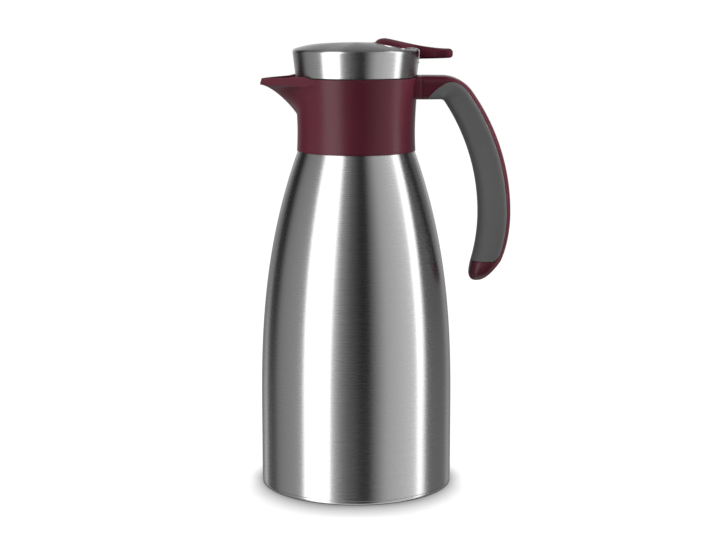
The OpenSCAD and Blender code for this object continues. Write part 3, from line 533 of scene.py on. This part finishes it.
def station_pt(s, phi, inset):
    """Point of a station's outline at phi, 0 at the outer point, set in by inset mm."""
    (ox, oz), (ix, iz) = s.outer, s.inner
    depth = math.hypot(ox - ix, oz - iz)
    c, sn = cos(radians(phi)), sin(radians(phi))
    across = spow(c, 2 / s.square)
    a = (depth / 2 - inset) * across
    b = (s.half * (1 - s.taper * (1 - across) / 2) - inset) * spow(sn, 2 / s.square)
    return ((ox + ix) / 2 + a * (ox - ix) / depth, -b, (oz + iz) / 2 + a * (oz - iz) / depth)


def grip_angle(s, shift=0.0):
    """Angle of the grip's edge on a station, moved by shift mm towards the inner side."""
    share = s.share - shift / math.dist(s.outer, s.inner)
    return math.degrees(acos(spow(2 * share - 1, s.square / 2)))


def spread(a, b, n):
    return [lerp(a, b, i / n) for i in range(n + 1)]


def outline(s, a, b, n, inset):
    """n + 1 points along a station's outline from angle a to b, evenly spaced by length."""
    dense = [station_pt(s, p, inset) for p in spread(a, b, 240)]
    run = [0.0]
    for p, q in zip(dense, dense[1:]):
        run.append(run[-1] + math.dist(p, q))
    pts, k = [], 0
    for i in range(n + 1):
        want = run[-1] * i / n
        while k < 239 and run[k + 1] < want:
            k += 1
        t = clamp01((want - run[k]) / max(run[k + 1] - run[k], 1e-9))
        pts.append(tuple(lerp(u, v, t) for u, v in zip(dense[k], dense[k + 1])))
    return pts


def groove_slant(s):
    """How far the groove's wall leans in, in mm along the station's depth."""
    return min(0.47, s.share * math.dist(s.outer, s.inner) / 4)


def spine_ring(s):
    """The handle's section, with the groove that holds the grip."""
    edge, step, foot = grip_angle(s, -0.14), grip_angle(s, -0.05), grip_angle(s, groove_slant(s))
    lip = 0.14 if s.groove > 0 else 0.0
    ring = outline(s, 0, edge, 12, 0)
    ring += [station_pt(s, step, lip)]
    ring += outline(s, foot, 360 - foot, 40, s.groove)
    ring += [station_pt(s, 360 - step, lip)]
    ring += outline(s, 360 - edge, 360, 12, 0)[:-1]
    return ring


def sleeve_ring(s):
    """The grip's section: out along its skin and back along the groove's floor."""
    slant = groove_slant(s)
    edge, step = grip_angle(s, 0.09), grip_angle(s, 0.19)
    skin, foot = grip_angle(s, max(0.28, slant)), grip_angle(s, slant + 0.09)
    deep = max(s.groove - 0.08, s.groove / 2)
    ring = [station_pt(s, edge, 0.14), station_pt(s, step, 0.02)]
    ring += outline(s, skin, 360 - skin, 40, 0)
    ring += [station_pt(s, 360 - step, 0.02), station_pt(s, 360 - edge, 0.14)]
    ring += outline(s, 360 - foot, foot, 36, deep)
    return ring


plain = [root_station(0.0), root_station(0.012), root_station(0.25)]
gripped = [root_station(t, True) for t in spread(LEAF_START / LEVEL, 1, 24)]
gripped += [bend_station(k / 24) for k in range(1, 25)]
gripped += [upper_station(i / 30) for i in range(1, 31)]
gripped += [lower_station(t) for t in (0.1, 0.2, 0.3, 0.4, 0.5, 0.6, 0.7, 0.8, 0.86, 0.91, 0.95, 0.98, 1.0)]
toe = [toe_station(sin(radians(a))) for a in (0, 8, 16, 24, 32, 40, 47, 54, 60, 66, 71, 76, 80, 84, 87)]
rings = [spine_ring(s) for s in plain + gripped + toe]
mid_y, mid_z = (sum(p[i] for p in rings[0]) / len(rings[0]) for i in (1, 2))
rings[0] = [(x, mid_y + (y - mid_y) * 0.975, mid_z + (z - mid_z) * 0.975) for x, y, z in rings[0]]
handle = solid("handle_body", *loft_data(rings), "jug", PLUM, "plum_plastic", sharp=60)
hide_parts("handle_spine")
sleeve_data = loft_data([sleeve_ring(s) for s in gripped])
grip = solid("handle_sleeve", *sleeve_data, "jug", GRIP, "grip_soft", sharp=60)
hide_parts("handle_grip")


# bracket between the collar and the handle, with the tongue that the handle screws to
def bracket_rings():
    """From inside the collar's wall to the seam with the handle, where the edge is slightly broken."""
    root = root_station(0.0)
    face = [station_pt(root, 360 * i / 72, 0.02) for i in range(72)]
    rows = [[], [(ROOT_X - 0.45, y, z) for _, y, z in face]]
    for _, y, z in face:
        wall = 41.55 if z > 275.0 else lerp(39.4, 40.6, clamp01((z - 261) / 14))
        rows[0].append((sqrt(wall ** 2 - y * y), y, z))
    mid = HANDLE_Z - ROOT_H / 2
    rows.append([(ROOT_X - 0.12, y * 0.985, mid + (z - mid) * 0.975) for _, y, z in face])
    return rows


TONGUE_Y, TONGUE_Z, TONGUE_X = 9, (264.1, 273.1), (ROOT_X - 1.0, ROOT_X + 11.6, ROOT_X + 12.0)
solid("collar_bracket", *loft_data(bracket_rings()), "jug", PLUM, "plum_plastic", sharp=40)
tongue = [(-TONGUE_Y, TONGUE_Z[0]), (TONGUE_Y, TONGUE_Z[0]), (TONGUE_Y, TONGUE_Z[1]), (-TONGUE_Y, TONGUE_Z[1])]
tongue_data = loft_data([[(x, y, z) for y, z in tongue] for x in TONGUE_X])
solid("bracket_tongue", *tongue_data, "jug", PLUM, "plum_plastic")

# ---------------------------------------------------------------- lid cap
CAP_TOP_R, CAP_BOT_R, SIDE_H, CAP_H, CAP_EDGE, CAP_WALL = 42.2, 40.3, 15.8, 21.85, 2.2, 0.6
EDGE_TURN = 68  # degrees at which the rounded edge gives way to the dome
LEAN = math.degrees(atan2(CAP_TOP_R - CAP_BOT_R, SIDE_H))
EDGE_C = (CAP_TOP_R - CAP_EDGE * cos(radians(LEAN)), CAP_Z + SIDE_H + CAP_EDGE * sin(radians(LEAN)))
DOME_R = EDGE_C[0] + CAP_EDGE * cos(radians(EDGE_TURN))
DOME_EDGE = EDGE_C[1] + CAP_EDGE * sin(radians(EDGE_TURN))


def dome_height(r):
    return CAP_Z + CAP_H - (CAP_Z + CAP_H - DOME_EDGE) * min(1.0, r / DOME_R) ** 3.8


def cap_line(inset, dome_steps):
    """Profile of the cap's skin from its lower edge to the crest, set in by inset mm."""
    pts = [(CAP_BOT_R - inset, CAP_Z)]
    start = arc(EDGE_C, CAP_EDGE - inset, -LEAN)
    pts += [(lerp(pts[0][0], start[0], t), lerp(CAP_Z, start[1], t)) for t in (0.03, 0.25, 0.5, 0.75)]
    pts += [arc(EDGE_C, CAP_EDGE - inset, lerp(-LEAN, EDGE_TURN, i / 14)) for i in range(15)]
    radii = [DOME_R * (1 - i / dome_steps) for i in range(1, dome_steps + 1)]
    pts += [(r, dome_height(r) - inset) for r in radii]
    return pts


# ---------------------------------------------------------------- lever
PIVOT_X, PIVOT_Z = 33.0, CAP_Z + 13.65
NOSE_X, HEAD_W, NECK_W, TAIL_W, TAIL_X, HEAD_X, NECK_X = 12.5, 24.0, 6.0, 12.0, 64.0, 28.5, 39.6
LEVER_TOP, CREST_X, TAIL_TOP = CAP_Z + 24.9, 19.5, CAP_Z + 18.05
TAIL_Z = TAIL_TOP - 6.7
HEAD_UNDER, NOTCH_Z, LEVER_GAP = PIVOT_Z + 3.5, TAIL_Z - 1.8, 0.9


def lever_half(x):
    if x < HEAD_X:
        return HEAD_W * max(0.0, 1 - ((HEAD_X - x) / (HEAD_X - NOSE_X)) ** 2.5) ** 0.4
    if x < NECK_X:
        return lerp(HEAD_W, NECK_W, ease((x - HEAD_X) / (NECK_X - HEAD_X)))
    return lerp(NECK_W, TAIL_W, ease((x - NECK_X - 2) / 12)) * \
        max(0.0, 1 - clamp01((x - TAIL_X + 9) / 9) ** 3) ** 0.4


def lever_crest(x):
    if x < CREST_X:
        return lerp(dome_height(NOSE_X) - 1, LEVER_TOP,
                    max(0.0, 1 - ((CREST_X - x) / (CREST_X - NOSE_X)) ** 2.4) ** (1 / 2.4))
    t = clamp01((x - CREST_X) / (TAIL_X - 4 - CREST_X))
    top = lerp(TAIL_TOP, LEVER_TOP, max(0.0, 1 - t ** 1.15) ** 1.65)
    return top - 1.6 * clamp01((x - TAIL_X + 3) / 3) ** 3


def lever_under(x):
    return lerp(HEAD_UNDER, TAIL_Z, ease((x - PIVOT_X - 1) / (NECK_X - PIVOT_X - 1))) + \
        0.9 * clamp01((x - NECK_X) / (TAIL_X - NECK_X)) + 1.4 * clamp01((x - TAIL_X + 3) / 3) ** 3


def lever_side(x):
    return lerp(dome_height(math.hypot(x, lever_half(x))) - 0.2, (lever_crest(x) + lever_under(x)) / 2,
                ease((x - NECK_X + 5) / 5))


def lever_ring(x, n=64):
    w, side = lever_half(x), lever_side(x)
    up, down = lever_crest(x) - side, (side - lever_under(x)) * min(1, 0.3 + (x - NOSE_X) / 3)
    square = lerp(2.3, 5, ease((x - NECK_X + 8) / 10))
    ring = []
    for i in range(n):
        a = 2 * pi * i / n
        top = a < pi
        p = 2 / (square if top else 5)
        ring.append((x, w * spow(cos(a), p), side + (up if top else down) * spow(sin(a), p)))
    return ring


NOSE_STEPS = (0.002, 0.01, 0.025, 0.05, 0.085, 0.13, 0.19, 0.26, 0.34, 0.43, 0.53, 0.64, 0.76, 0.88, 1)
TAIL_STEPS = (0.15, 0.3, 0.43, 0.55, 0.65, 0.74, 0.82, 0.88, 0.93, 0.965, 0.985, 0.997)
xs = [lerp(NOSE_X, CREST_X, t) for t in NOSE_STEPS]
xs += [lerp(CREST_X, HEAD_X, i / 6) for i in range(1, 7)]
xs += [lerp(HEAD_X, NECK_X, i / 18) for i in range(1, 19)]
xs += [lerp(NECK_X, TAIL_X - 9, i / 10) for i in range(1, 11)]
xs += [lerp(TAIL_X - 9, TAIL_X, t) for t in TAIL_STEPS]
lever_data = loft_data([lever_ring(x) for x in xs])
lever = solid("thumb_lever", *lever_data, "lever", SHADED_LEVER_PLUM, "plum_plastic", sharp=50)


def box_data(x0, x1, y0, y1, z0, z1, c=0.35):
    """A block with its four long edges cut."""
    sec = [(y0 + c, z0), (y1 - c, z0), (y1, z0 + c), (y1, z1 - c), (y1 - c, z1), (y0 + c, z1), (y0, z1 - c),
           (y0, z0 + c)]
    return loft_data([[(x, y, z) for y, z in sec] for x in (x0, x1)])


def round_row(x, z, r, y, segs):
    return [(x + r * cos(2 * pi * j / segs), y, z + r * sin(2 * pi * j / segs)) for j in range(segs)]


def rod_data(x, z, r, y0, y1):
    return loft_data([round_row(x, z, r, y, 32) for y in (y0, y1)])


def washer_rod(x, z, r, hole, y0, y1):
    """A boss along Y with a bore right through."""
    return loft_data([round_row(x, z, rr, y, 48) for rr, y in ((r, y0), (r, y1), (hole, y1), (hole, y0))],
                     loop=True)


FORK_Z, ARM_T, BOSS_R, PIN_BORE, BOSS_W = PIVOT_Z - 3.3, 2, 3.4, 1.55, 6
PRONG_IN, PRONG_OUT, PRONG_X, PRONG_T, TOE_R = 2.9, 5.9, 5.9, 0.8, 1.5
parts = {
    "lever_boss": washer_rod(PIVOT_X, PIVOT_Z, BOSS_R, PIN_BORE, -BOSS_W, BOSS_W),
    "lever_web": box_data(PIVOT_X - 2, PIVOT_X + 2, -BOSS_W, BOSS_W, PIVOT_Z + 2.6, HEAD_UNDER + 1),
    "lever_arm": box_data(PRONG_X, PIVOT_X - 2.2, -3.5, 3.5, FORK_Z - ARM_T, FORK_Z + ARM_T),
    "lever_yoke": box_data(PRONG_X - 0.4, PRONG_X + 3, -PRONG_OUT, PRONG_OUT, FORK_Z - ARM_T, FORK_Z + ARM_T),
}
prongs = {"left": (PRONG_IN, PRONG_OUT), "right": (-PRONG_OUT, -PRONG_IN)}
for side, (y0, y1) in prongs.items():
    parts[f"lever_prong_{side}"] = box_data(0, PRONG_X, y0, y1, FORK_Z - PRONG_T, FORK_Z + PRONG_T, 0.2)
for side, (y0, y1) in prongs.items():
    parts[f"lever_toe_{side}"] = rod_data(0, FORK_Z, TOE_R, y0, y1)
for name, data in parts.items():
    solid(name, *data, "lever", SHADED_LEVER_PLUM, "plum_plastic")
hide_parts("lever")


def opening_outline(gap):
    """The lever's outline from above, one side, set off by the gap."""
    grid = [NOSE_X + (HEAD_X - NOSE_X) * (i / 40) ** 2 for i in range(1, 41)]
    grid += [lerp(HEAD_X, NECK_X, i / 40) for i in range(1, 41)]
    side = [(NOSE_X, 0.0)] + [(x, lever_half(x)) for x in grid]
    out = []
    for i, (x, y) in enumerate(side):
        x0, y0 = side[i - 1] if i else (x, -side[1][1])
        x1, y1 = side[i + 1] if i + 1 < len(side) else (x + 1, y)
        tx, ty = x1 - x0, y1 - y0
        n = math.hypot(tx, ty)
        out.append((x - gap * ty / n, y + gap * tx / n))
    return out


edge = opening_outline(LEVER_GAP)
end_x, end_y = CAP_TOP_R + 3, edge[-1][1]  # the opening runs out through the cap's wall
plan = edge + [(end_x, end_y), (end_x, -end_y)] + [(x, -y) for x, y in reversed(edge[1:])]
cut_v, cut_f = loft_data([[(x, y, z) for x, y in plan] for z in (NOTCH_Z, CAP_Z + 40)])
cutter = solid("cap_cutter", cut_v, cut_f, None, DARK, "")

profile = cap_line(0, 44) + list(reversed(cap_line(CAP_WALL, 20)))
cap = solid("cap_steel", *lathe_data(profile, 288), "lid", CAP_STEEL, "steel_brushed")
mod = cap.modifiers.new("opening", "BOOLEAN")
mod.object = cutter
mod.operation = "DIFFERENCE"
mod.solver = "EXACT"
bpy.context.view_layer.update()
cut_mesh = bpy.data.meshes.new_from_object(cap.evaluated_get(bpy.context.evaluated_depsgraph_get()))
cap.modifiers.clear()
old = cap.data
cap.data = cut_mesh
cut_mesh.name = "cap_steel"
bpy.data.objects.remove(cutter)
bpy.data.meshes.remove(old)


def cap_normal(x, y, z):
    """Normal of the cap's outer skin at a point on it, or None off it."""
    r = math.hypot(x, y)
    if z < EDGE_C[1] - CAP_EDGE * sin(radians(LEAN)) + 1e-6:
        want = lerp(CAP_BOT_R, CAP_TOP_R, (z - CAP_Z) / SIDE_H)
        nr, nz, off = cos(radians(LEAN)), -sin(radians(LEAN)), abs(r - want)
    elif r > DOME_R - 1e-6:
        d = math.hypot(r - EDGE_C[0], z - EDGE_C[1])
        nr, nz, off = (r - EDGE_C[0]) / d, (z - EDGE_C[1]) / d, abs(d - CAP_EDGE)
    else:
        slope = (dome_height(r + 0.01) - dome_height(max(0, r - 0.01))) / (0.01 + min(r, 0.01))
        join = smooth((r - DOME_R + 2.5) / 2.5)
        slope = lerp(slope, -cos(radians(EDGE_TURN)) / sin(radians(EDGE_TURN)), join)
        n = math.hypot(slope, 1)
        nr, nz, off = -slope / n, 1 / n, abs(z - dome_height(r))
    if off > 0.06:
        return None
    return Vector((nr * x / r, nr * y / r, nz)) if r > 1e-6 else Vector((0, 0, 1))


def shade_cap(me):
    marks = [cap_normal(*(c / MM for c in v.co)) for v in me.vertices]
    loops = [None] * len(me.loops)
    for p in me.polygons:
        outer = all(marks[me.loops[i].vertex_index] is not None for i in p.loop_indices)
        for i in p.loop_indices:
            loops[i] = marks[me.loops[i].vertex_index] if outer else p.normal.copy()
    me.normals_split_custom_set([tuple(n) for n in loops])


cut_mesh.shade_smooth()
shade_cap(cut_mesh)
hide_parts("lid_cap")


# rolled edge round the opening: the bead is real, its steel brighter than the cap's is a painted highlight
BEAD_R, BEAD_OUT = 0.48, 0.3


def cap_r_at(z):
    if z <= CAP_Z + SIDE_H:
        return lerp(CAP_BOT_R, CAP_TOP_R, (z - CAP_Z) / SIDE_H)
    if z < DOME_EDGE:
        return EDGE_C[0] + sqrt(max(0.0, CAP_EDGE ** 2 - (z - EDGE_C[1]) ** 2))
    return DOME_R


def bead_path():
    """Round the opening: over the dome, down the wall beside the lever's neck and along the notch."""
    rim = opening_outline(LEVER_GAP + BEAD_OUT)
    side = [(x, y, dome_height(math.hypot(x, y))) for x, y in rim if math.hypot(x, y) < DOME_R - 0.05]
    y, low = rim[-1][1], NOTCH_Z - BEAD_OUT
    z = DOME_EDGE - 0.02
    down = []
    while z > low:
        down.append((sqrt(cap_r_at(z) ** 2 - y * y), y, z))
        z -= 0.25
    r = cap_r_at(low)
    bottom = [(*arc((0, 0), r, a), low) for a in spread(math.degrees(asin(y / r)), 0, 14)]
    right = side + down + bottom
    return right + [(x, -y, z) for x, y, z in reversed(right[:-1]) if abs(y) > 1e-6]


solid("cap_bead", *tube_data(bead_path(), BEAD_R), "lid", HIGHLIGHT_EDGE_STEEL, "steel_brushed", sharp=80)


# ---------------------------------------------------------------- threads
LEAD = 8.0


def ridge(name, body, r_root, r_tip, z0, z1, start):
    """One start of a thread, whose ends run out."""
    turns = (z1 - z0) / LEAD
    steps = int(turns * 90)
    rings = []
    for i in range(steps + 1):
        t = i / steps
        grow = min(1.0, t * 10, (1 - t) * 10)
        a = radians(start) + 2 * pi * turns * t
        z = lerp(z0, z1, t)
        tip = lerp(r_root, r_tip, grow)
        rings.append([(r * cos(a), r * sin(a), z + dz) for r, dz in
                      ((r_root, -1.0), (tip, -0.45), (tip, 0.45), (r_root, 1.0))])
    solid(name, *loft_data(rings), body, DARK, "dark_plastic")


for k in (0, 1):
    ridge(f"stopper_thread_{k}", "lid", 29.5, 31.1, 243.6, 255.2, 180 * k)
    ridge(f"ring_thread_{k}", "jug", 31.7, 30.1, 243.2, 254.8, 180 * k + 72)

# ---------------------------------------------------------------- camera
cam_data = bpy.data.cameras.new("camera")
cam_data.lens = 85.07
cam_data.sensor_width = 36.0
cam_data.clip_start = 0.05
cam = bpy.data.objects.new("camera", cam_data)
cam.location = (0.0012, -1.130, 0.3333)
cam.rotation_euler = (radians(90 - 9.45), 0, 0)
scene.collection.objects.link(cam)
scene.camera = cam

# ---------------------------------------------------------------- light
scene.view_settings.view_transform = "Standard"
world = bpy.data.worlds.new("world")
scene.world = world
world.use_nodes = True
nt = world.node_tree
nt.nodes.clear()
path = nt.nodes.new("ShaderNodeLightPath")
shown = path.outputs["Is Camera Ray"]
for ray in ("Is Glossy Ray", "Is Transmission Ray"):
    either = nt.nodes.new("ShaderNodeMath")
    either.operation = "MAXIMUM"
    nt.links.new(shown, either.inputs[0])
    nt.links.new(path.outputs[ray], either.inputs[1])
    shown = either.outputs[0]
mix = nt.nodes.new("ShaderNodeMixShader")
out = nt.nodes.new("ShaderNodeOutputWorld")
nt.links.new(shown, mix.inputs[0])
for socket, strength in ((1, 0.12), (2, 1.0)):  # what lights the object, and the white that is seen
    sky = nt.nodes.new("ShaderNodeBackground")
    sky.inputs["Color"].default_value = (1, 1, 1, 1)
    sky.inputs["Strength"].default_value = strength
    nt.links.new(sky.outputs[0], mix.inputs[socket])
nt.links.new(mix.outputs[0], out.inputs["Surface"])
LAMP_AIM = (0, 0, 0.15)


def area(name, place, size, power):
    data = bpy.data.lights.new(name, "AREA")
    data.shape = "RECTANGLE"
    data.size, data.size_y = size
    data.energy = power
    ob = bpy.data.objects.new(name, data)
    ob.location = place
    ob.rotation_euler = (Vector(LAMP_AIM) - Vector(place)).to_track_quat("-Z", "Y").to_euler()
    ob.visible_glossy = False
    scene.collection.objects.link(ob)


area("key", (-1.55, -0.27, 0.9), (0.8, 1.2), 32.0)
area("fill", (1.55, 0.27, 0.8), (0.7, 1.2), 47.0)
area("front", (0.1, -1.5, 1.1), (1.2, 0.8), 17.5)

# ---------------------------------------------------------------- light tent, seen in gloss only
glow = bpy.data.materials.new("tent_glow")
glow.use_nodes = True
nt = glow.node_tree
nt.nodes.clear()
level = nt.nodes.new("ShaderNodeAttribute")
level.attribute_name = "level"
emit = nt.nodes.new("ShaderNodeEmission")
out = nt.nodes.new("ShaderNodeOutputMaterial")
nt.links.new(level.outputs["Fac"], emit.inputs["Strength"])
nt.links.new(emit.outputs[0], out.inputs["Surface"])


def reflected(name, verts, faces, levels):
    """A glowing mesh that only reflections can see, as bright as its points' levels."""
    me = bpy.data.meshes.new(name)
    me.from_pydata(verts, [], faces)
    me.attributes.new("level", "FLOAT", "POINT").data.foreach_set("value", levels)
    me.materials.append(glow)
    ob = bpy.data.objects.new(name, me)
    scene.collection.objects.link(ob)
    ob.visible_camera = False
    ob.visible_diffuse = False
    ob.visible_shadow = False
    ob.visible_transmission = False
    ob.visible_volume_scatter = False


TENT_R, TOP_R, TOP_Z, TOP_LEVEL = 1.6, 2.4, 2.55, 0.15
STRIP_END, KEY_END = 89.0, -29.8
LEANS = ((STRIP_END, 5.5, 12.0), (KEY_END, 4.2, 22.0))  # azimuth, lean in degrees per metre, reach to each side


def panel(name, a0, a1, s0, s1, heights):
    """Curved panel between two azimuths (degrees from the front, positive to the right).

    Its brightness runs from s0 to s1 across and is multiplied by the (height, factor) rows.
    The tall strip on the right and the inner edge of the key lean, and what lies beside them follows.
    """
    steps = max(2, int(abs(a1 - a0) / 3))
    rows = len(heights)
    verts, faces, levels = [], [], []
    for i, a in enumerate(spread(a0, a1, steps)):
        lean = sum(most * max(0.0, 1 - abs(a - at) / wide) for at, most, wide in LEANS)
        for z, f in heights:
            turn = radians(a + lean * max(-1.0, min(1.0, z)))
            verts.append((TENT_R * sin(turn), -TENT_R * cos(turn), z))
            levels.append(lerp(s0, s1, i / steps) * f)
    for i in range(steps):
        for j in range(rows - 1):
            b = i * rows + j
            faces.append((b, b + rows, b + rows + 1, b + 1))
    reflected(name, verts, faces, levels)


# height over the floor in metres, and how bright a panel is there
EVEN = [(-2.6, 1.0), (-1.0, 1.0), (0.0, 1.0), (1.0, 1.0), (2.6, 1.0)]
LOW_TOP = [(-2.6, 1.0), (-1.0, 1.0), (0.0, 1.0), (1.0, 1.0), (1.4, 0.7), (2.6, 0.6)]
RISING = [(-2.6, 1.0), (-1.0, 1.0), (0.3, 1.0), (0.57, 1.2), (1.0, 1.5), (2.6, 1.5)]
FRONT = [(-2.6, 2.4), (-0.4, 2.2), (-0.15, 1.2), (0.1, 1.0), (0.3, 1.0), (0.57, 1.6), (1.0, 2.4), (2.6, 2.4)]
EDGE = [(-2.6, 3.2), (-0.4, 2.8), (-0.22, 2.0), (0.0, 1.0), (0.25, 0.8), (0.5, 0.4), (2.6, 0.4)]
FAR = [(-2.6, 1.7), (-0.4, 1.6), (-0.2, 1.3), (0.1, 1.0), (0.6, 0.9), (2.6, 0.9)]
BACK = [(-2.6, 0.85), (-0.1, 0.85), (0.25, 1.6), (0.5, 2.1), (1.2, 1.15), (2.2, 0.56), (2.6, 0.5)]
for name, a0, a1, s0, s1, heights in (
    ("tent_back_left", -180, -148, 0.30, 0.26, BACK),
    ("tent_left_far", -148, -134, 0.28, 0.20, EDGE),
    ("tent_left_edge", -134, -117, 0.04, 0.04, EDGE),
    ("tent_left_rise", -117, -106, 0.06, 0.28, LOW_TOP),
    ("tent_left", -106, -75, 0.28, 0.40, LOW_TOP),
    ("tent_key_rise", -75, -65.3, 0.40, 0.60, EVEN),
    ("tent_key", -65.3, KEY_END, 2.4, 2.4, EVEN),
    ("tent_key_fall", KEY_END, -19, 0.60, 0.26, EVEN),
    ("tent_front_left", -19, -7, 0.26, 0.08, RISING),
    ("tent_front", -7, 5, 0.07, 0.015, FRONT),
    ("tent_front_dark", 5, 14.5, 0.015, 0.01, FRONT),
    ("tent_front_right", 14.5, 37, 0.01, 0.53, EVEN),
    ("tent_right", 37, 77.5, 0.53, 0.84, EVEN),
    ("tent_strip", 77.5, STRIP_END, 2.4, 2.4, EVEN),
    ("tent_strip_fall", STRIP_END, 94, 0.6, 0.18, EVEN),
    ("tent_right_far", 94, 132, 0.14, 0.12, FAR),
    ("tent_right_back", 132, 150, 0.12, 0.34, FAR),
    ("tent_back_right", 150, 180, 0.34, 0.30, BACK),
):
    panel(name, a0, a1, s0, s1, heights)

disc = [(*arc((0, 0), TOP_R, a), TOP_Z) for a in range(0, 360, 15)]
reflected("tent_top", disc, [tuple(range(len(disc)))], [TOP_LEVEL] * len(disc))

# ---------------------------------------------------------------- floor
floor_me = bpy.data.meshes.new("floor")
floor_me.from_pydata([(-6, -6, 0), (6, -6, 0), (6, 6, 0), (-6, 6, 0)], [], [(0, 1, 2, 3)])
floor = bpy.data.objects.new("floor", floor_me)
scene.collection.objects.link(floor)
fm = Mat("floor_pale")
fm.set(Roughness=0.9, Specular_IOR_Level=0.1, Base_Color=(0.25, 0.25, 0.25, 1))

# The camera sees white with a painted contact shadow: ambient occlusion round the object darkens the floor's
# glow and colour, with a little of the lamps' own shadow.
# The painted shadow reaches farther and is deeper in front of the object (FRONT_Y) than beside it (SIDE_Y).
FRONT_Y, SIDE_Y, LEAN_BACK = -0.085, -0.01, radians(35)
spot = fm.add("ShaderNodeSeparateXYZ")
fm.link(fm.coords(), spot.inputs[0])


def by_depth(front, side):
    return fm.remap(spot.outputs["Y"], front, side, FRONT_Y, SIDE_Y)


# Painted contact shadow: this ambient-occlusion node measures how near the object stands and dims the floor's
# glow.
near = fm.add("ShaderNodeAmbientOcclusion", samples=24)
near.inputs["Normal"].default_value = (0.0, sin(LEAN_BACK), cos(LEAN_BACK))
fm.link(by_depth(0.062, 0.028), near.inputs["Distance"])
painted_shadow = fm.remap(near.outputs["AO"], 0.05, 1.0, 0.40, 0.85)
fm.link(by_depth(0.85, 0.74), painted_shadow.node.inputs["From Max"])
glow_floor = fm.add("ShaderNodeEmission")
fm.link(fm.math("POWER", painted_shadow, by_depth(1.8, 1.0)), glow_floor.inputs["Strength"])
lit_floor = fm.add("ShaderNodeBsdfDiffuse")
grey = fm.add("ShaderNodeCombineXYZ")
# Painted shade: the floor's diffuse colour also darkens with the ambient occlusion.
shade = fm.remap(near.outputs["AO"], 0.02, 0.08, 0.34, 0.98)
for i in range(3):
    fm.link(shade, grey.inputs[i])
fm.link(grey.outputs[0], lit_floor.inputs["Color"])
both_floor = fm.add("ShaderNodeAddShader")
fm.link(glow_floor.outputs[0], both_floor.inputs[0])
fm.link(lit_floor.outputs[0], both_floor.inputs[1])
seen_floor = fm.add("ShaderNodeLightPath")
pick = fm.add("ShaderNodeMixShader")
fm.link(seen_floor.outputs["Is Camera Ray"], pick.inputs[0])
fm.link(fm.bsdf.outputs[0], pick.inputs[1])
fm.link(both_floor.outputs[0], pick.inputs[2])
fm.link(pick.outputs[0], fm.nt.nodes["Material Output"].inputs["Surface"])
floor_me.materials.append(fm.mat)
floor.visible_glossy = False
